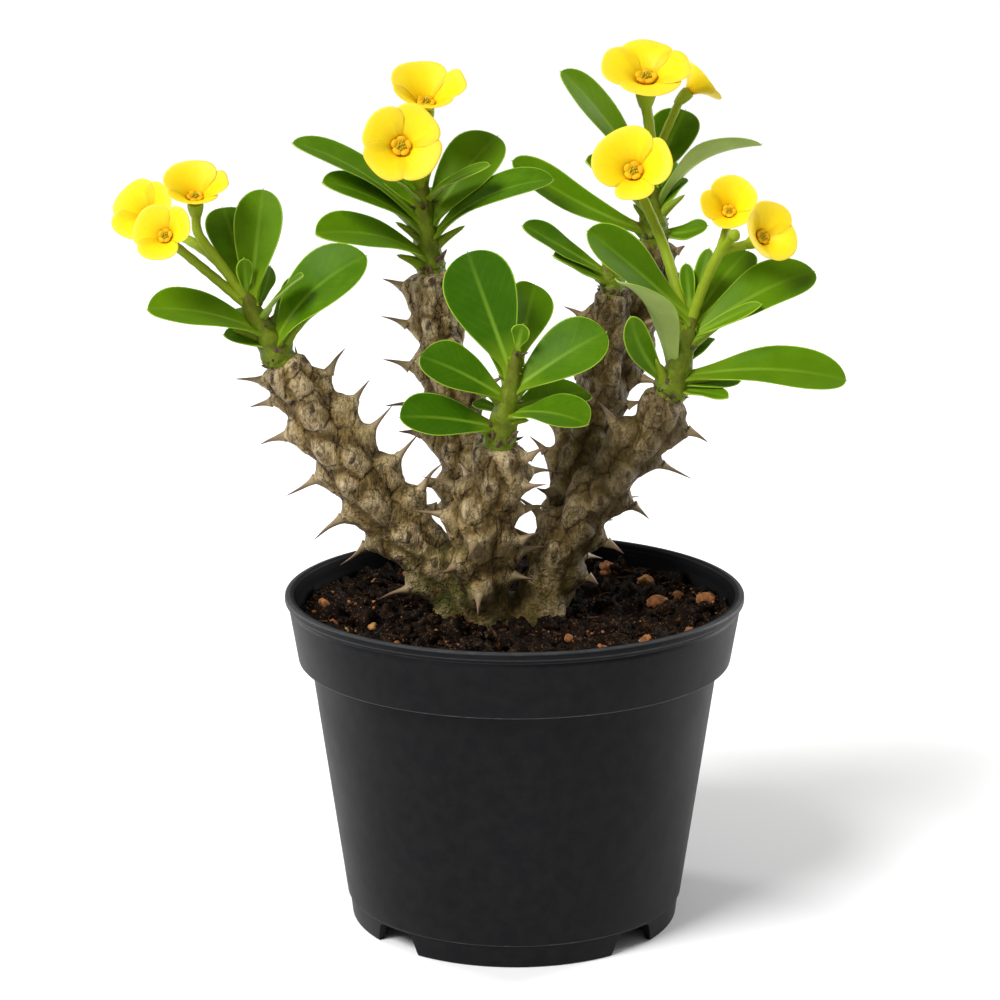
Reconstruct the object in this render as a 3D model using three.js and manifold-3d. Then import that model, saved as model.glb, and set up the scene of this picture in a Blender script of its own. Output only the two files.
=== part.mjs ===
// Potted euphorbia: a spiny plant with yellow blooms, growing in a round nursery pot.
// Millimetres, +Z up. The origin is the centre of the pot's base, and the front looks along -Y.

import * as THREE from 'three';
import { mergeVertices } from 'three/addons/utils/BufferGeometryUtils.js';
import Module from 'manifold-3d';

const wasm = await Module();
wasm.setup();

// Driving dimensions
const GAP = 0.3; // clearance between neighbouring pieces

const POT_HEIGHT = 88;
const LIP_RADIUS = 60;
const LIP_WIDTH = 2.4; // its flat top, measured inwards
const LIP_ROUNDING = 0.9;
const COLLAR_TOP_RADIUS = 58.9;
const COLLAR_TOP = 84.2;
const COLLAR_FOOT_RADIUS = 56.6;
const COLLAR_FOOT = 70.5; // the collar steps in to the body here
const BODY_TOP_RADIUS = 53.5;
const FOOT_RADIUS = 43.7;
const FOOT_RING_TOP = 6.4;
const WALL = 1.3;
const COLLAR_WALL = 1.6;
const FLOOR_BOTTOM = 3.8;
const FLOOR_TOP = 5.2;
const FOOT_RING_WIDTH = 1.8;
const BODY_LEDGE = 0.6; // the body stands out this far over its foot ring
const CENTRE_FOOT_RADIUS = 9; // the floor dips in its middle to a round flat foot
const CENTRE_FOOT_SLOPE = 1.4;
const POT_SIDES = 32;
const NOTCH_COUNT = 4;
const NOTCH_WIDTH = 15.5;
const NOTCH_HEIGHT = 5.6; // reaches through the floor, as a drain slot
const NOTCH_DEPTH = 12;
const NOTCH_SLOPE = 1.4; // each side leans inwards by this much
const NOTCH_CORNER = 2;

const SOIL_LEVEL = 79.5;
const SOIL_LUMPS = 0.9;
const SOIL_SIDES = 32;
const CRUMB_COUNT = 9;
const CRUMB_NEAREST = 24; // from the pot's axis
const CRUMB_FARTHEST = 51;
const CRUMB_RADII = [1.5, 3.2];

const COLLAR_CENTRE = new THREE.Vector2(-1.6, 7.5); // root collar, where the branches meet
const COLLAR_HALF = new THREE.Vector2(19.2, 14.2);
const ROOT_HALF = new THREE.Vector2(14, 9); // its lower end, in the soil
const ROOT_BOTTOM = 58;
const ROOT_TOP = 82;

const PODARIUM_PITCH = 10; // along the branch, from one to the next in a file
const PODARIUM_FILES = 6; // files round the branch, every other one half a pitch higher
const PODARIUM_HEIGHT = 1.9;
const FILE_HEIGHT = 0.4; // the low ridge between the podaria of a file
const LOWEST_PODARIUM = 86;
const FILE_TWIST = 0.011; // radians per millimetre of branch
const SPINE_LENGTH = 8.6;
const SPINE_ROOT_RADIUS = 1.25;
const SPINE_BURIED = 2.1; // the part of it inside the branch
const SPINE_LEANS = [-0.2, 0.55]; // towards the branch's tip, from its lowest spine to its highest
const SPINE_SHARE = 0.62; // the share of the other podaria that still carry their spine
const SPINE_SPACING = 7; // kept free round each spine that the photograph shows

const LEAF_THICKNESS = 0.8;
const BRACT_THICKNESS = 0.62;
const STALK_RADIUS = 1.5;

const UP = new THREE.Vector3(0, 0, 1);
const RIGHT = new THREE.Vector3(1, 0, 0);

// Each branch: its centre-line, from inside the root collar to its flat top, and the radius of
// its core at each of those points. The podaria stand on that core.
const BRANCHES = {
  left: {
    points: [[-7, 7, 77], [-16, 5.5, 88], [-26, 4, 100], [-36, 2, 112.5], [-44, 1, 124],
      [-52, -0.5, 136.5], [-60, -2, 149.5]],
    radii: [8, 7.8, 6.9, 6.5, 6.4, 5.8, 4.5],
  },
  middleLeft: {
    points: [[-7, 11, 77], [-10, 15, 90], [-12, 19, 105], [-14, 21, 121], [-17.5, 23, 139],
      [-21, 24.5, 155], [-22, 25, 168.5]],
    radii: [7, 7, 6, 5.8, 5.6, 4.9, 4.2],
  },
  centre: {
    points: [[-4, 3, 76], [-7, 1, 87], [-8, -3, 99], [-7.5, -5, 110], [-5.5, -7, 120],
      [-4, -9, 129.5]],
    radii: [8, 8, 7.2, 6.8, 5.8, 4.9],
  },
  side: {
    points: [[5.5, 9, 77], [10.5, 11, 88], [13.5, 14.5, 101], [16.5, 17.5, 117], [20.5, 20, 130],
      [24, 20, 147], [25.6, 19, 164]],
    radii: [7.6, 7.6, 6.4, 5.4, 5, 4.4, 3.7],
  },
  backRight: {
    points: [[19, 19, 122], [26, 25, 139], [32.5, 29, 153], [36.5, 31, 165], [37, 31, 176]],
    radii: [5.4, 5.4, 5, 4.4, 3.8],
  },
  right: {
    points: [[5, 6, 77], [10.5, 4, 88], [15, 2, 101], [22, 0, 113.5], [29.5, -2, 124.5],
      [35.5, -3.5, 132.5], [39.5, -4, 141]],
    radii: [7.6, 8, 7, 6, 5.6, 5.2, 4.4],
  },
};

// The spines that the photograph shows clearly: share of the branch's length, degrees round it
// (0 towards the viewer, 90 to the right), lean towards the branch's tip, and length.
const SEEN_SPINES = {
  left: [[0.98, -90, 0.7, 7.5], [0.91, -90, 0.3, 6.5], [0.8, -92, 0.24, 7.8], [0.65, -90, 0.05, 9.8],
    [0.52, -80, 0, 10], [0.41, -92, -0.05, 10], [0.28, -56, 0.2, 8.2], [0.9, 88, 0.48, 8.6],
    [0.79, 92, 0.4, 7.4], [0.69, 90, 0.3, 8.9], [0.57, 92, 0.27, 9.6], [0.45, 90, 0.25, 10]],
  middleLeft: [[0.96, -92, 0.42, 6.2], [0.86, -88, 0.5, 7.8], [0.75, -92, 0.55, 8],
    [0.64, -88, 0.1, 9.6], [0.4, -76, -0.1, 6.5], [0.65, 88, 0.3, 7.4], [0.97, 84, 0.85, 7]],
  centre: [[0.22, -88, -0.07, 9.8], [0.6, -90, 0, 10.2], [0.74, -86, 0.1, 9], [0.97, 74, 0.9, 6.9],
    [0.86, 104, 0, 7.8], [0.84, 62, 0.5, 6.4], [0.69, 92, 0.28, 8.8], [0.53, 76, 0.7, 6.2],
    [0.43, 96, 0.15, 7.6], [0.34, 66, 0.07, 6], [0.54, -12, -0.2, 7.6], [0.3, -4, -0.3, 7],
    [0.42, -46, 0.1, 6.4]],
  side: [[0.49, -90, 0.54, 6.6], [0.81, -66, 1, 5.8], [0.92, -90, 0.45, 6.2], [0.68, 90, 0.6, 4.8]],
  backRight: [[0.95, 74, 0.8, 3.4], [0.84, 88, 0, 4.2]],
  right: [[0.39, -92, 0.12, 9.6], [0.91, 88, -0.08, 6.8], [0.78, 92, 0.16, 9.6],
    [0.59, 88, -0.17, 6.4], [0.43, 76, 0, 6], [0.26, 74, -0.26, 4], [0.12, 42, -0.1, 4.6],
    [0.81, -84, 0.3, 8.2]],
};

// Each leafy shoot: the green stem on top of a branch, and its leaves. A leaf starts on the stem
// at the share "at" of its length and ends at "tip". Its upper side looks along "face", and its
// middle rises by "rise" above the straight line from base to tip, and bends sideways by "bend".
const SHOOTS = {
  shoot_left: {
    branch: 'left',
    stem: [[-63.5, -3, 156.5], [-66.5, -4, 162], [-68.5, -5, 167.5]],
    radii: [4, 3.4, 2.9, 2.2],
    leaves: [
      { at: 0.3, tip: [-92.5, -12, 164], wide: 16, rise: 3, face: [0, -0.45, 0.9] },
      { at: 0.9, tip: [-75, 8, 187], wide: 13, rise: 2, face: [0.3, -0.9, 0.3] },
      { at: 0.8, tip: [-64, 2, 192.5], wide: 12.5, rise: 1, face: [-0.1, -0.95, 0.2] },
      { at: 0.95, tip: [-68.5, -6, 176], wide: 4.5, rise: 0, face: [0.3, -0.9, 0.2] },
      { at: 0.7, tip: [-62.5, 1, 173], wide: 6, rise: 0.5, face: [0.9, -0.2, 0.4] },
      { at: 0.12, tip: [-37.5, -8, 177], wide: 18, rise: 5.5, face: [-0.5, -0.7, 0.5] },
      { at: 0.55, tip: [-53, -15, 173], wide: 6.5, rise: 1, face: [-0.4, -0.3, 0.85] },
      { at: 0.08, tip: [-48.5, 5, 163], wide: 9, rise: 1, face: [-0.5, -0.3, 0.8] },
      { at: 0.08, tip: [-74, -6, 156.5], wide: 7.5, rise: 1, face: [0, -0.4, 0.9] },
      { at: 0.3, tip: [-48, 24, 165], wide: 14, rise: 3, face: [0, -0.4, 0.9] },
      { at: 0.35, tip: [-79, 19, 157], wide: 13, rise: 2, face: [0.2, -0.3, 0.9] },
    ],
  },
  shoot_middle_left: {
    branch: 'middleLeft',
    stem: [[-23.3, 25, 178], [-24, 25, 186], [-24.5, 25, 193.5]],
    radii: [3.8, 3.3, 2.8, 2.3],
    leaves: [
      { at: 0.42, tip: [-57.5, 18, 202.5], wide: 14, rise: 3.5, face: [0.3, -0.3, 0.9] },
      { at: 0.32, tip: [-49.5, 12, 193], wide: 14, rise: 3, face: [0.1, -0.4, 0.9] },
      { at: 0.05, tip: [-51, 6, 180.5], wide: 15, rise: 4, face: [0.05, -0.5, 0.85] },
      { at: 0.6, tip: [-37.5, 31, 200], wide: 13, rise: 1, face: [0.4, -0.8, 0.4] },
      { at: 0.7, tip: [-31.5, 13, 194], wide: 5, rise: 0.5, face: [0.3, -0.4, 0.8] },
      { at: 0.4, tip: [-4.5, 34, 202.5], wide: 16, rise: 2.5, face: [-0.4, -0.85, 0.35] },
      { at: 0.72, tip: [-6.5, 15, 197], wide: 6.5, rise: 1, face: [-0.3, -0.35, 0.9] },
      { at: 0.25, tip: [10, 18, 193], wide: 14, rise: 4.5, face: [-0.25, -0.4, 0.9] },
      { at: 0.3, tip: [-24, 55, 186], wide: 15, rise: 4, face: [0, -0.35, 0.9] },
      { at: 0.75, tip: [-27, 45, 203], wide: 12, rise: 2, face: [0, -0.7, 0.7] },
    ],
  },
  shoot_centre: {
    branch: 'centre',
    stem: [[-2.4, -10, 137], [-0.5, -10, 146], [0.5, -10, 153.5]],
    radii: [4.3, 3.3, 2.7, 2],
    leaves: [
      { at: 0.7, tip: [-12, -2, 177], wide: 18.5, rise: 1, face: [-0.15, -0.95, 0.25] },
      { at: 0.85, tip: [5, 9, 167], wide: 12, rise: 1, face: [0.3, -0.9, 0.3] },
      { at: 0.5, tip: [23, -8, 157.5], wide: 16.5, rise: 2, face: [-0.4, -0.75, 0.5] },
      { at: 0.42, tip: [-24, -10, 151.5], wide: 15, rise: 2, face: [0.25, -0.6, 0.7] },
      { at: 0.1, tip: [-29, -18, 137.5], wide: 15, rise: 2, face: [0.15, -0.55, 0.8] },
      { at: 0.25, tip: [18, -24, 137], wide: 15, rise: 2.5, face: [0, -0.35, 0.9] },
      { at: 0.3, tip: [19, 3, 139.5], wide: 12, rise: 1.5, face: [0, -0.4, 0.9] },
      { at: 0.3, tip: [-10.5, -4, 138.5], wide: 4.5, rise: 0.5, face: [0.2, -0.6, 0.7] },
      { at: 1, tip: [2, -11, 160], wide: 5, rise: 0, face: [-0.2, -0.9, 0.3] },
      { at: 0.5, tip: [-3, 20, 158], wide: 15, rise: 3, face: [0, -0.5, 0.85] },
    ],
  },
  shoot_back_right: {
    branch: 'backRight',
    stem: [[36.5, 31, 182], [36, 31, 187], [36, 30.5, 192]],
    radii: [3.7, 3.3, 2.8, 2.3],
    leaves: [
      { at: 0.75, tip: [12, 28, 220], wide: 13, rise: 2, face: [0.5, -0.5, 0.6] },
      { at: 0.35, tip: [64.5, 26, 201.3], wide: 12, rise: 6, face: [-0.4, 0.47, 0.8] },
      { at: 0.85, tip: [45.5, 42, 208.5], wide: 13, rise: 1, face: [-0.2, -0.9, 0.35] },
      { at: 0.25, tip: [18.5, 20, 197.5], wide: 12, rise: 1.5, face: [0.65, -0.25, 0.7] },
      { at: 0.3, tip: [45.5, 37, 191], wide: 8, rise: 1, face: [-0.6, -0.5, 0.6] },
      { at: 0.04, tip: [-0.5, 30, 196.5], wide: 11, rise: 0.5, bend: 2.5, face: [0.35, -0.7, 0.6] },
      { at: 0.06, tip: [51, 29, 179.5], wide: 6.5, rise: -1.5, face: [-0.3, -0.5, 0.8] },
      { at: 0.3, tip: [38, 59, 192], wide: 14, rise: 4, face: [0, -0.35, 0.9] },
    ],
  },
  shoot_side: {
    branch: 'side',
    stem: [[24.8, 19, 167], [24, 19, 171]],
    radii: [3.4, 2.8, 2],
    leaves: [
      { at: 0.5, tip: [2, 14, 181.5], wide: 10, rise: 0.5, face: [0.4, -0.45, 0.8] },
      { at: 0.05, tip: [10, 12, 174], wide: 7.5, rise: 0.5, face: [0.3, -0.35, 0.9] },
      { at: 0.6, tip: [26, 38, 174.5], wide: 11, rise: 2, face: [0, -0.4, 0.9] },
      { at: 0.9, tip: [24, 16, 180], wide: 5, rise: 0, face: [-0.2, -0.9, 0.3] },
    ],
  },
  shoot_right: {
    branch: 'right',
    stem: [[42, -5, 149], [43.8, -5, 156], [45, -5, 162]],
    radii: [4.2, 3.6, 3, 2.3],
    leaves: [
      { at: 0.9, tip: [18, -12, 183.8], wide: 13.5, rise: 1, face: [0.45, -0.7, 0.55] },
      { at: 0.03, tip: [25.5, -24, 173], wide: 13, rise: 6.5, face: [0.6, 0.5, 0.6] },
      { at: 0.08, tip: [29, -14, 162.5], wide: 7, rise: 0.5, bend: 2, face: [-0.3, -0.8, 0.5] },
      { at: 0.6, tip: [76.5, 2, 171.5], wide: 14.5, rise: 4, face: [-0.3, -0.7, 0.65] },
      { at: 0.65, tip: [62, -10, 165], wide: 4.5, rise: 0.5, face: [-0.2, -0.6, 0.8] },
      { at: 0.16, tip: [84, -10, 145.5], wide: 15, rise: 4, face: [0, -0.55, 0.8] },
      { at: 0.06, tip: [57.5, -6, 144.5], wide: 8, rise: 1, face: [-0.1, -0.4, 0.9] },
      { at: 0.04, tip: [54, -12, 141.5], wide: 6, rise: 0.5, face: [-0.1, -0.4, 0.9] },
      { at: 0.25, tip: [50.5, 6, 153.5], wide: 7.5, rise: 1, face: [-0.4, -0.5, 0.75] },
      { at: 0.8, tip: [60.5, 13, 175], wide: 12, rise: 1.5, face: [-0.4, -0.8, 0.4] },
      { at: 0.95, tip: [43.5, -1, 174], wide: 4, rise: 0, face: [-0.2, -0.9, 0.3] },
      { at: 0.95, tip: [49.5, 1, 177.5], wide: 4.5, rise: 0, face: [-0.3, -0.9, 0.3] },
      { at: 0.35, tip: [50, 27, 158], wide: 15, rise: 3, face: [0, -0.5, 0.85] },
    ],
  },
};

// Each bloom: the middle of its gland ring, the way it looks (degrees to the right of the viewer,
// and up), its diameter, how far its rim stands above that ring for a bloom 20 mm across, and the
// directions of its bracts, in degrees clockwise from the top.
// Its stalk leaves the shoot at the share "from" and passes the points of "stalk".
const BLOOMS = {
  left_front: { shoot: 'shoot_left', centre: [-87.5, -13, 183], turn: -15, lift: 28, across: 15.5,
    cup: 4, bracts: [-62, 62, 185], from: 0.75, stalk: [[-77, -6, 172]] },
  left_top: { shoot: 'shoot_left', centre: [-80.5, -5, 192], turn: 5, lift: 56, across: 17,
    cup: 5, bracts: [-25, 85, 190], from: 0.85, stalk: [[-75, -6, 175.5], [-80, -4, 182]] },
  left_back: { shoot: 'shoot_left', centre: [-94, 4, 186], turn: -24, lift: 32, across: 17,
    cup: 4, bracts: [-50, 70, 190], from: 0.85, stalk: [[-75, -5.5, 175], [-82, -1, 179.5]] },
  middle_front: { shoot: 'shoot_middle_left', centre: [-29, 8, 203], turn: 2, lift: 20, across: 21,
    cup: 3, bracts: [-50, 40, 130, 220], from: 0.85, stalk: [[-27.5, 20, 197]] },
  middle_back: { shoot: 'shoot_middle_left', centre: [-23, 24, 213], turn: 8, lift: 57, across: 20,
    cup: 5.5, bracts: [-30, 85, 200], from: 0.9, stalk: [[-23, 26.5, 200]] },
  right_top: { shoot: 'shoot_back_right', centre: [34, 22, 219.7], turn: -2, lift: 57, across: 23.5,
    cup: 2.4, bracts: [-80, 0, 85, 170], from: 0.9, stalk: [[35.5, 28.5, 204]] },
  right_back: { shoot: 'shoot_back_right', centre: [47.2, 36, 215.3], turn: 110, lift: 42, across: 14.5,
    cup: 4, bracts: [-60, 60, 180], from: 0.9, stalk: [[39, 32, 201.5]] },
  right_front: { shoot: 'shoot_right', centre: [30, 2, 197.5], turn: -8, lift: 30, across: 20.5,
    cup: 4, bracts: [-50, 80, 172], from: 0.8, stalk: [[41.5, -3, 166], [38, 3, 178]] },
  right_small: { shoot: 'shoot_right', centre: [54.5, 2, 187.2], turn: -5, lift: 34, across: 15,
    cup: 6.3, bracts: [-95, 25, 165], from: 0.9, stalk: [[48.5, -4, 170.5], [52, -3, 178]] },
  right_side: { shoot: 'shoot_right', centre: [62.5, -8, 182], turn: 35, lift: 25, across: 16,
    cup: 4.6, bracts: [-95, 20, 135], from: 0.9, stalk: [[48.5, -4, 170.5], [52, -3, 177]] },
};

const BUD = { shoot: 'shoot_right', from: 0.9, stalk: [[48.5, -4, 170.5], [52.2, -4, 177.5]],
  tip: [54.8, -7.5, 181.8], radius: 1.4 };

const FINISH = {
  pot: { color: 0x2b2d30, roughness: 0.55 },
  soil: { color: 0x2a1d16, roughness: 1 },
  wood: { color: 0x8d7d63, roughness: 0.85 },
  shoot: { color: 0x4f9a22, roughness: 0.45 },
  bloom: { color: 0xf8df1c, roughness: 0.55 },
  glands: { color: 0xe39a16, roughness: 0.4 },
};

// A repeatable number from 0 to 1 for each whole-number key.
function chance(key) {
  const wave = Math.sin(key * 12.9898 + 4.1414) * 43758.5453;
  return wave - Math.floor(wave);
}

function vector([x, y, z]) {
  return new THREE.Vector3(x, y, z);
}

function curveThrough(points) {
  return new THREE.CatmullRomCurve3(points, false, 'catmullrom', 0.5);
}

// The value at share t of a list of values that are spread evenly along something.
function blend(values, t) {
  const place = Math.min(Math.max(t, 0), 1) * (values.length - 1);
  const index = Math.min(Math.floor(place), values.length - 2);
  return THREE.MathUtils.lerp(values[index], values[index + 1], place - index);
}

// Solids: closed meshes to join and cut
function solidFrom(geometry) {
  geometry.deleteAttribute('normal');
  geometry.deleteAttribute('uv');
  const welded = mergeVertices(geometry, 1e-4);
  const corners = Array.from(welded.index.array);
  const triangles = [];
  for (let i = 0; i < corners.length; i += 3) {
    const [a, b, c] = corners.slice(i, i + 3);
    if (a !== b && b !== c && c !== a) triangles.push(a, b, c);
  }
  return new wasm.Manifold(new wasm.Mesh({
    numProp: 3,
    vertProperties: new Float32Array(welded.attributes.position.array),
    triVerts: new Uint32Array(triangles),
  }));
}

function meshFrom(solid, name, finish) {
  const { vertProperties, triVerts } = solid.getMesh();
  const geometry = new THREE.BufferGeometry();
  geometry.setAttribute('position', new THREE.BufferAttribute(vertProperties, 3));
  geometry.setIndex(new THREE.BufferAttribute(triVerts, 1));
  geometry.computeVertexNormals();
  const mesh = new THREE.Mesh(geometry, new THREE.MeshStandardMaterial({ ...finish, metalness: 0 }));
  mesh.name = name;
  return mesh;
}

function joined(solids) {
  return solids.reduce((whole, next) => whole.add(next));
}

// The direction of a curve at share t, and two directions square to it.
function frameAt(curve, t) {
  const along = curve.getTangentAt(t);
  const side = RIGHT.clone().addScaledVector(along, -along.x).normalize();
  const front = new THREE.Vector3().crossVectors(side, along);
  return { along, side, front };
}

// A closed tube along a curve. radiusAt gives the radius for a ring and a corner of that ring.
function tube(curve, sides, rings, radiusAt, twist = 0) {
  const geometry = new THREE.CylinderGeometry(1, 1, 1, sides, rings);
  const position = geometry.attributes.position;
  const length = curve.getLength();
  for (let i = 0; i < position.count; i += 1) {
    const ring = Math.round((position.getY(i) + 0.5) * rings);
    const share = Math.hypot(position.getX(i), position.getZ(i));
    const angle = Math.atan2(position.getX(i), position.getZ(i));
    const corner = (Math.round((angle / (2 * Math.PI)) * sides) + sides) % sides;
    const t = ring / rings;
    const { side, front } = frameAt(curve, t);
    const reach = share * radiusAt(ring, corner);
    const turned = angle + twist * length * t;
    const point = curve.getPointAt(t)
      .addScaledVector(side, reach * Math.sin(turned))
      .addScaledVector(front, reach * Math.cos(turned));
    position.setXYZ(i, point.x, point.y, point.z);
  }
  return solidFrom(geometry);
}

// A closed thin sheet. pointAt(u, v, face) gives its points: u along it, v across it from -1 to 1,
// and face is 1 on the upper side and -1 on the lower. Both sides are split into triangles alike.
function sheet(shares, columns, pointAt) {
  const positions = [];
  const triangles = [];
  const width = columns + 1;
  const rows = shares.length - 1;
  for (const face of [1, -1]) {
    for (const u of shares) {
      for (let column = 0; column <= columns; column += 1) {
        positions.push(...pointAt(u, (2 * column) / columns - 1, face).toArray());
      }
    }
  }
  const under = width * shares.length;
  for (let row = 0; row < rows; row += 1) {
    for (let column = 0; column < columns; column += 1) {
      const [a, b, c, d] = cellCorners(row, column, width);
      triangles.push(a, d, c, a, c, b);
      triangles.push(under + a, under + c, under + d, under + a, under + b, under + c);
    }
    const near = row * width;
    const far = near + columns;
    triangles.push(...wall(near + width, near, under), ...wall(far, far + width, under));
  }
  const last = rows * width;
  for (let column = 0; column < columns; column += 1) {
    triangles.push(...wall(column, column + 1, under), ...wall(last + column + 1, last + column, under));
  }
  const geometry = new THREE.BufferGeometry();
  geometry.setAttribute('position', new THREE.Float32BufferAttribute(positions, 3));
  geometry.setIndex(triangles);
  return solidFrom(geometry);
}

function cellCorners(row, column, width) {
  const first = row * width + column;
  return [first, first + 1, first + 1 + width, first + width];
}

// The two triangles of a sheet's edge between two neighbouring points of its upper side.
function wall(from, to, under) {
  return [from, to, under + to, from, under + to, under + from];
}

// Pot
function bodyRadius(z) {
  const share = (z - FOOT_RING_TOP) / (COLLAR_FOOT - FOOT_RING_TOP);
  return THREE.MathUtils.lerp(FOOT_RADIUS + BODY_LEDGE, BODY_TOP_RADIUS, share);
}

function innerRadius(z) {
  if (z <= COLLAR_FOOT - WALL) return bodyRadius(z) - WALL;
  const share = (z - COLLAR_FOOT) / (COLLAR_TOP - COLLAR_FOOT);
  return THREE.MathUtils.lerp(COLLAR_FOOT_RADIUS, COLLAR_TOP_RADIUS, Math.max(share, 0)) - COLLAR_WALL;
}

function potProfile() {
  const ringInside = FOOT_RADIUS - FOOT_RING_WIDTH;
  return [
    [0, 0], [CENTRE_FOOT_RADIUS, 0], [CENTRE_FOOT_RADIUS + CENTRE_FOOT_SLOPE, FLOOR_BOTTOM],
    [ringInside - 0.9, FLOOR_BOTTOM], [ringInside - 0.5, 0],
    [FOOT_RADIUS - 0.8, 0], [FOOT_RADIUS, 0.8], [FOOT_RADIUS + 0.2, FOOT_RING_TOP - 0.2],
    [bodyRadius(FOOT_RING_TOP), FOOT_RING_TOP], [BODY_TOP_RADIUS, COLLAR_FOOT],
    [COLLAR_FOOT_RADIUS, COLLAR_FOOT], [COLLAR_TOP_RADIUS, COLLAR_TOP],
    [COLLAR_TOP_RADIUS - 0.5, COLLAR_TOP + 1], [LIP_RADIUS, POT_HEIGHT - LIP_ROUNDING],
    [LIP_RADIUS - LIP_ROUNDING, POT_HEIGHT],
    [LIP_RADIUS - LIP_WIDTH, POT_HEIGHT], [innerRadius(COLLAR_TOP), COLLAR_TOP],
    [innerRadius(COLLAR_FOOT + 1), COLLAR_FOOT + 1],
    [innerRadius(COLLAR_FOOT - WALL), COLLAR_FOOT - WALL],
    [innerRadius(FLOOR_TOP + 1), FLOOR_TOP + 1], [innerRadius(FLOOR_TOP) - 1, FLOOR_TOP],
    [CENTRE_FOOT_RADIUS + CENTRE_FOOT_SLOPE - WALL, FLOOR_TOP],
    [CENTRE_FOOT_RADIUS - WALL, FLOOR_TOP - FLOOR_BOTTOM], [0, FLOOR_TOP - FLOOR_BOTTOM],
  ].map(([radius, z]) => new THREE.Vector2(radius, z));
}

// A bar with sloping sides and rounded upper corners, lying across the foot ring.
function notchCutter(angle) {
  const half = NOTCH_WIDTH / 2;
  const shoulder = half - NOTCH_SLOPE;
  const outline = new THREE.Shape();
  outline.moveTo(-half, -1);
  outline.lineTo(half, -1);
  outline.lineTo(shoulder, NOTCH_HEIGHT - NOTCH_CORNER);
  outline.lineTo(shoulder - NOTCH_CORNER, NOTCH_HEIGHT);
  outline.lineTo(NOTCH_CORNER - shoulder, NOTCH_HEIGHT);
  outline.lineTo(-shoulder, NOTCH_HEIGHT - NOTCH_CORNER);
  const bar = new THREE.ExtrudeGeometry(outline, { depth: NOTCH_DEPTH, bevelEnabled: false });
  bar.rotateX(Math.PI / 2);
  bar.translate(0, NOTCH_DEPTH - FOOT_RADIUS - 3, 0);
  bar.rotateZ(angle);
  return solidFrom(bar);
}

function makePot() {
  const turned = new THREE.LatheGeometry(potProfile(), POT_SIDES);
  turned.rotateX(Math.PI / 2);
  let pot = solidFrom(turned);
  for (let i = 0; i < NOTCH_COUNT; i += 1) {
    pot = pot.subtract(notchCutter(((i + 0.5) * 2 * Math.PI) / NOTCH_COUNT));
  }
  return pot;
}

// Soil
const SOIL_RINGS = [16, 23, 30, 37.5, 45, 52.5];

function soilHeight(x, y) {
  const swell = Math.sin(x * 0.21 + 1) * Math.cos(y * 0.17 + 2) + 0.6 * Math.sin(x * 0.43 - y * 0.39);
  return SOIL_LEVEL + SOIL_LUMPS * 0.7 * swell;
}

function soilBlock() {
  const bottom = FLOOR_TOP + GAP;
  const top = SOIL_LEVEL;
  const outside = (z) => innerRadius(z) - 0.2 - GAP;
  const dip = CENTRE_FOOT_RADIUS - WALL - 2 * GAP;
  const profile = [[0, bottom - FLOOR_BOTTOM], [dip, bottom - FLOOR_BOTTOM],
    [dip + CENTRE_FOOT_SLOPE, bottom], [outside(bottom) - 1.2, bottom],
    [outside(bottom + 1.5), bottom + 1.5],
    [outside(COLLAR_FOOT - WALL), COLLAR_FOOT - WALL - GAP], [outside(top), top - 1.5],
    ...SOIL_RINGS.slice().reverse().map((radius) => [radius, top]), [0, top]];
  const block = new THREE.LatheGeometry(profile.map(([r, z]) => new THREE.Vector2(r, z)), SOIL_SIDES);
  block.rotateX(Math.PI / 2);
  const position = block.attributes.position;
  for (let i = 0; i < position.count; i += 1) {
    if (position.getZ(i) > top - 0.01) {
      const ring = Math.round(Math.hypot(position.getX(i), position.getY(i)) * 2);
      const angle = Math.atan2(position.getY(i), position.getX(i));
      const turn = (Math.round((angle / (2 * Math.PI)) * SOIL_SIDES) + SOIL_SIDES) % SOIL_SIDES;
      const grain = ring === 0 ? 0 : (chance(ring * 40 + turn) - 0.5) * SOIL_LUMPS * 1.6;
      position.setZ(i, soilHeight(position.getX(i), position.getY(i)) + grain);
    }
  }
  return solidFrom(block);
}

// A crumb of fired clay or bark, half sunk in the soil.
function crumb(key) {
  const angle = 2 * Math.PI * chance(key);
  const reach = THREE.MathUtils.lerp(CRUMB_NEAREST, CRUMB_FARTHEST, Math.sqrt(chance(key + 1)));
  const stone = new THREE.IcosahedronGeometry(blend(CRUMB_RADII, chance(key + 2) ** 2), 0);
  stone.scale(1.2, 0.9, 0.8);
  stone.rotateZ(6 * chance(key + 3));
  const x = reach * Math.cos(angle);
  const y = reach * Math.sin(angle);
  stone.translate(x, y, soilHeight(x, y));
  return solidFrom(stone);
}

// An upright oval plug: the root collar, or the hole that it stands in.
function ovalPlug(bottom, top, extra) {
  const plug = new THREE.CylinderGeometry(1, 1, top - bottom, 20, 1);
  plug.rotateX(Math.PI / 2);
  plug.translate(0, 0, (top + bottom) / 2);
  const position = plug.attributes.position;
  for (let i = 0; i < position.count; i += 1) {
    const z = position.getZ(i);
    const half = ROOT_HALF.clone()
      .lerp(COLLAR_HALF, (z - ROOT_BOTTOM) / (ROOT_TOP - ROOT_BOTTOM))
      .addScalar(extra);
    position.setX(i, COLLAR_CENTRE.x + position.getX(i) * half.x);
    position.setY(i, COLLAR_CENTRE.y + position.getY(i) * half.y);
  }
  return solidFrom(plug);
}

function makeSoil() {
  let soil = soilBlock().subtract(ovalPlug(ROOT_BOTTOM - GAP, POT_HEIGHT, GAP + 0.1));
  for (let i = 0; i < CRUMB_COUNT; i += 1) soil = soil.add(crumb(100 + 7 * i));
  return soil;
}

// Wood: branches with podaria and spines
function branchCurve(branch) {
  return curveThrough(branch.points.map(vector));
}

function branchRings(curve) {
  return Math.round(curve.getLength() / (PODARIUM_PITCH / 2));
}

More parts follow.
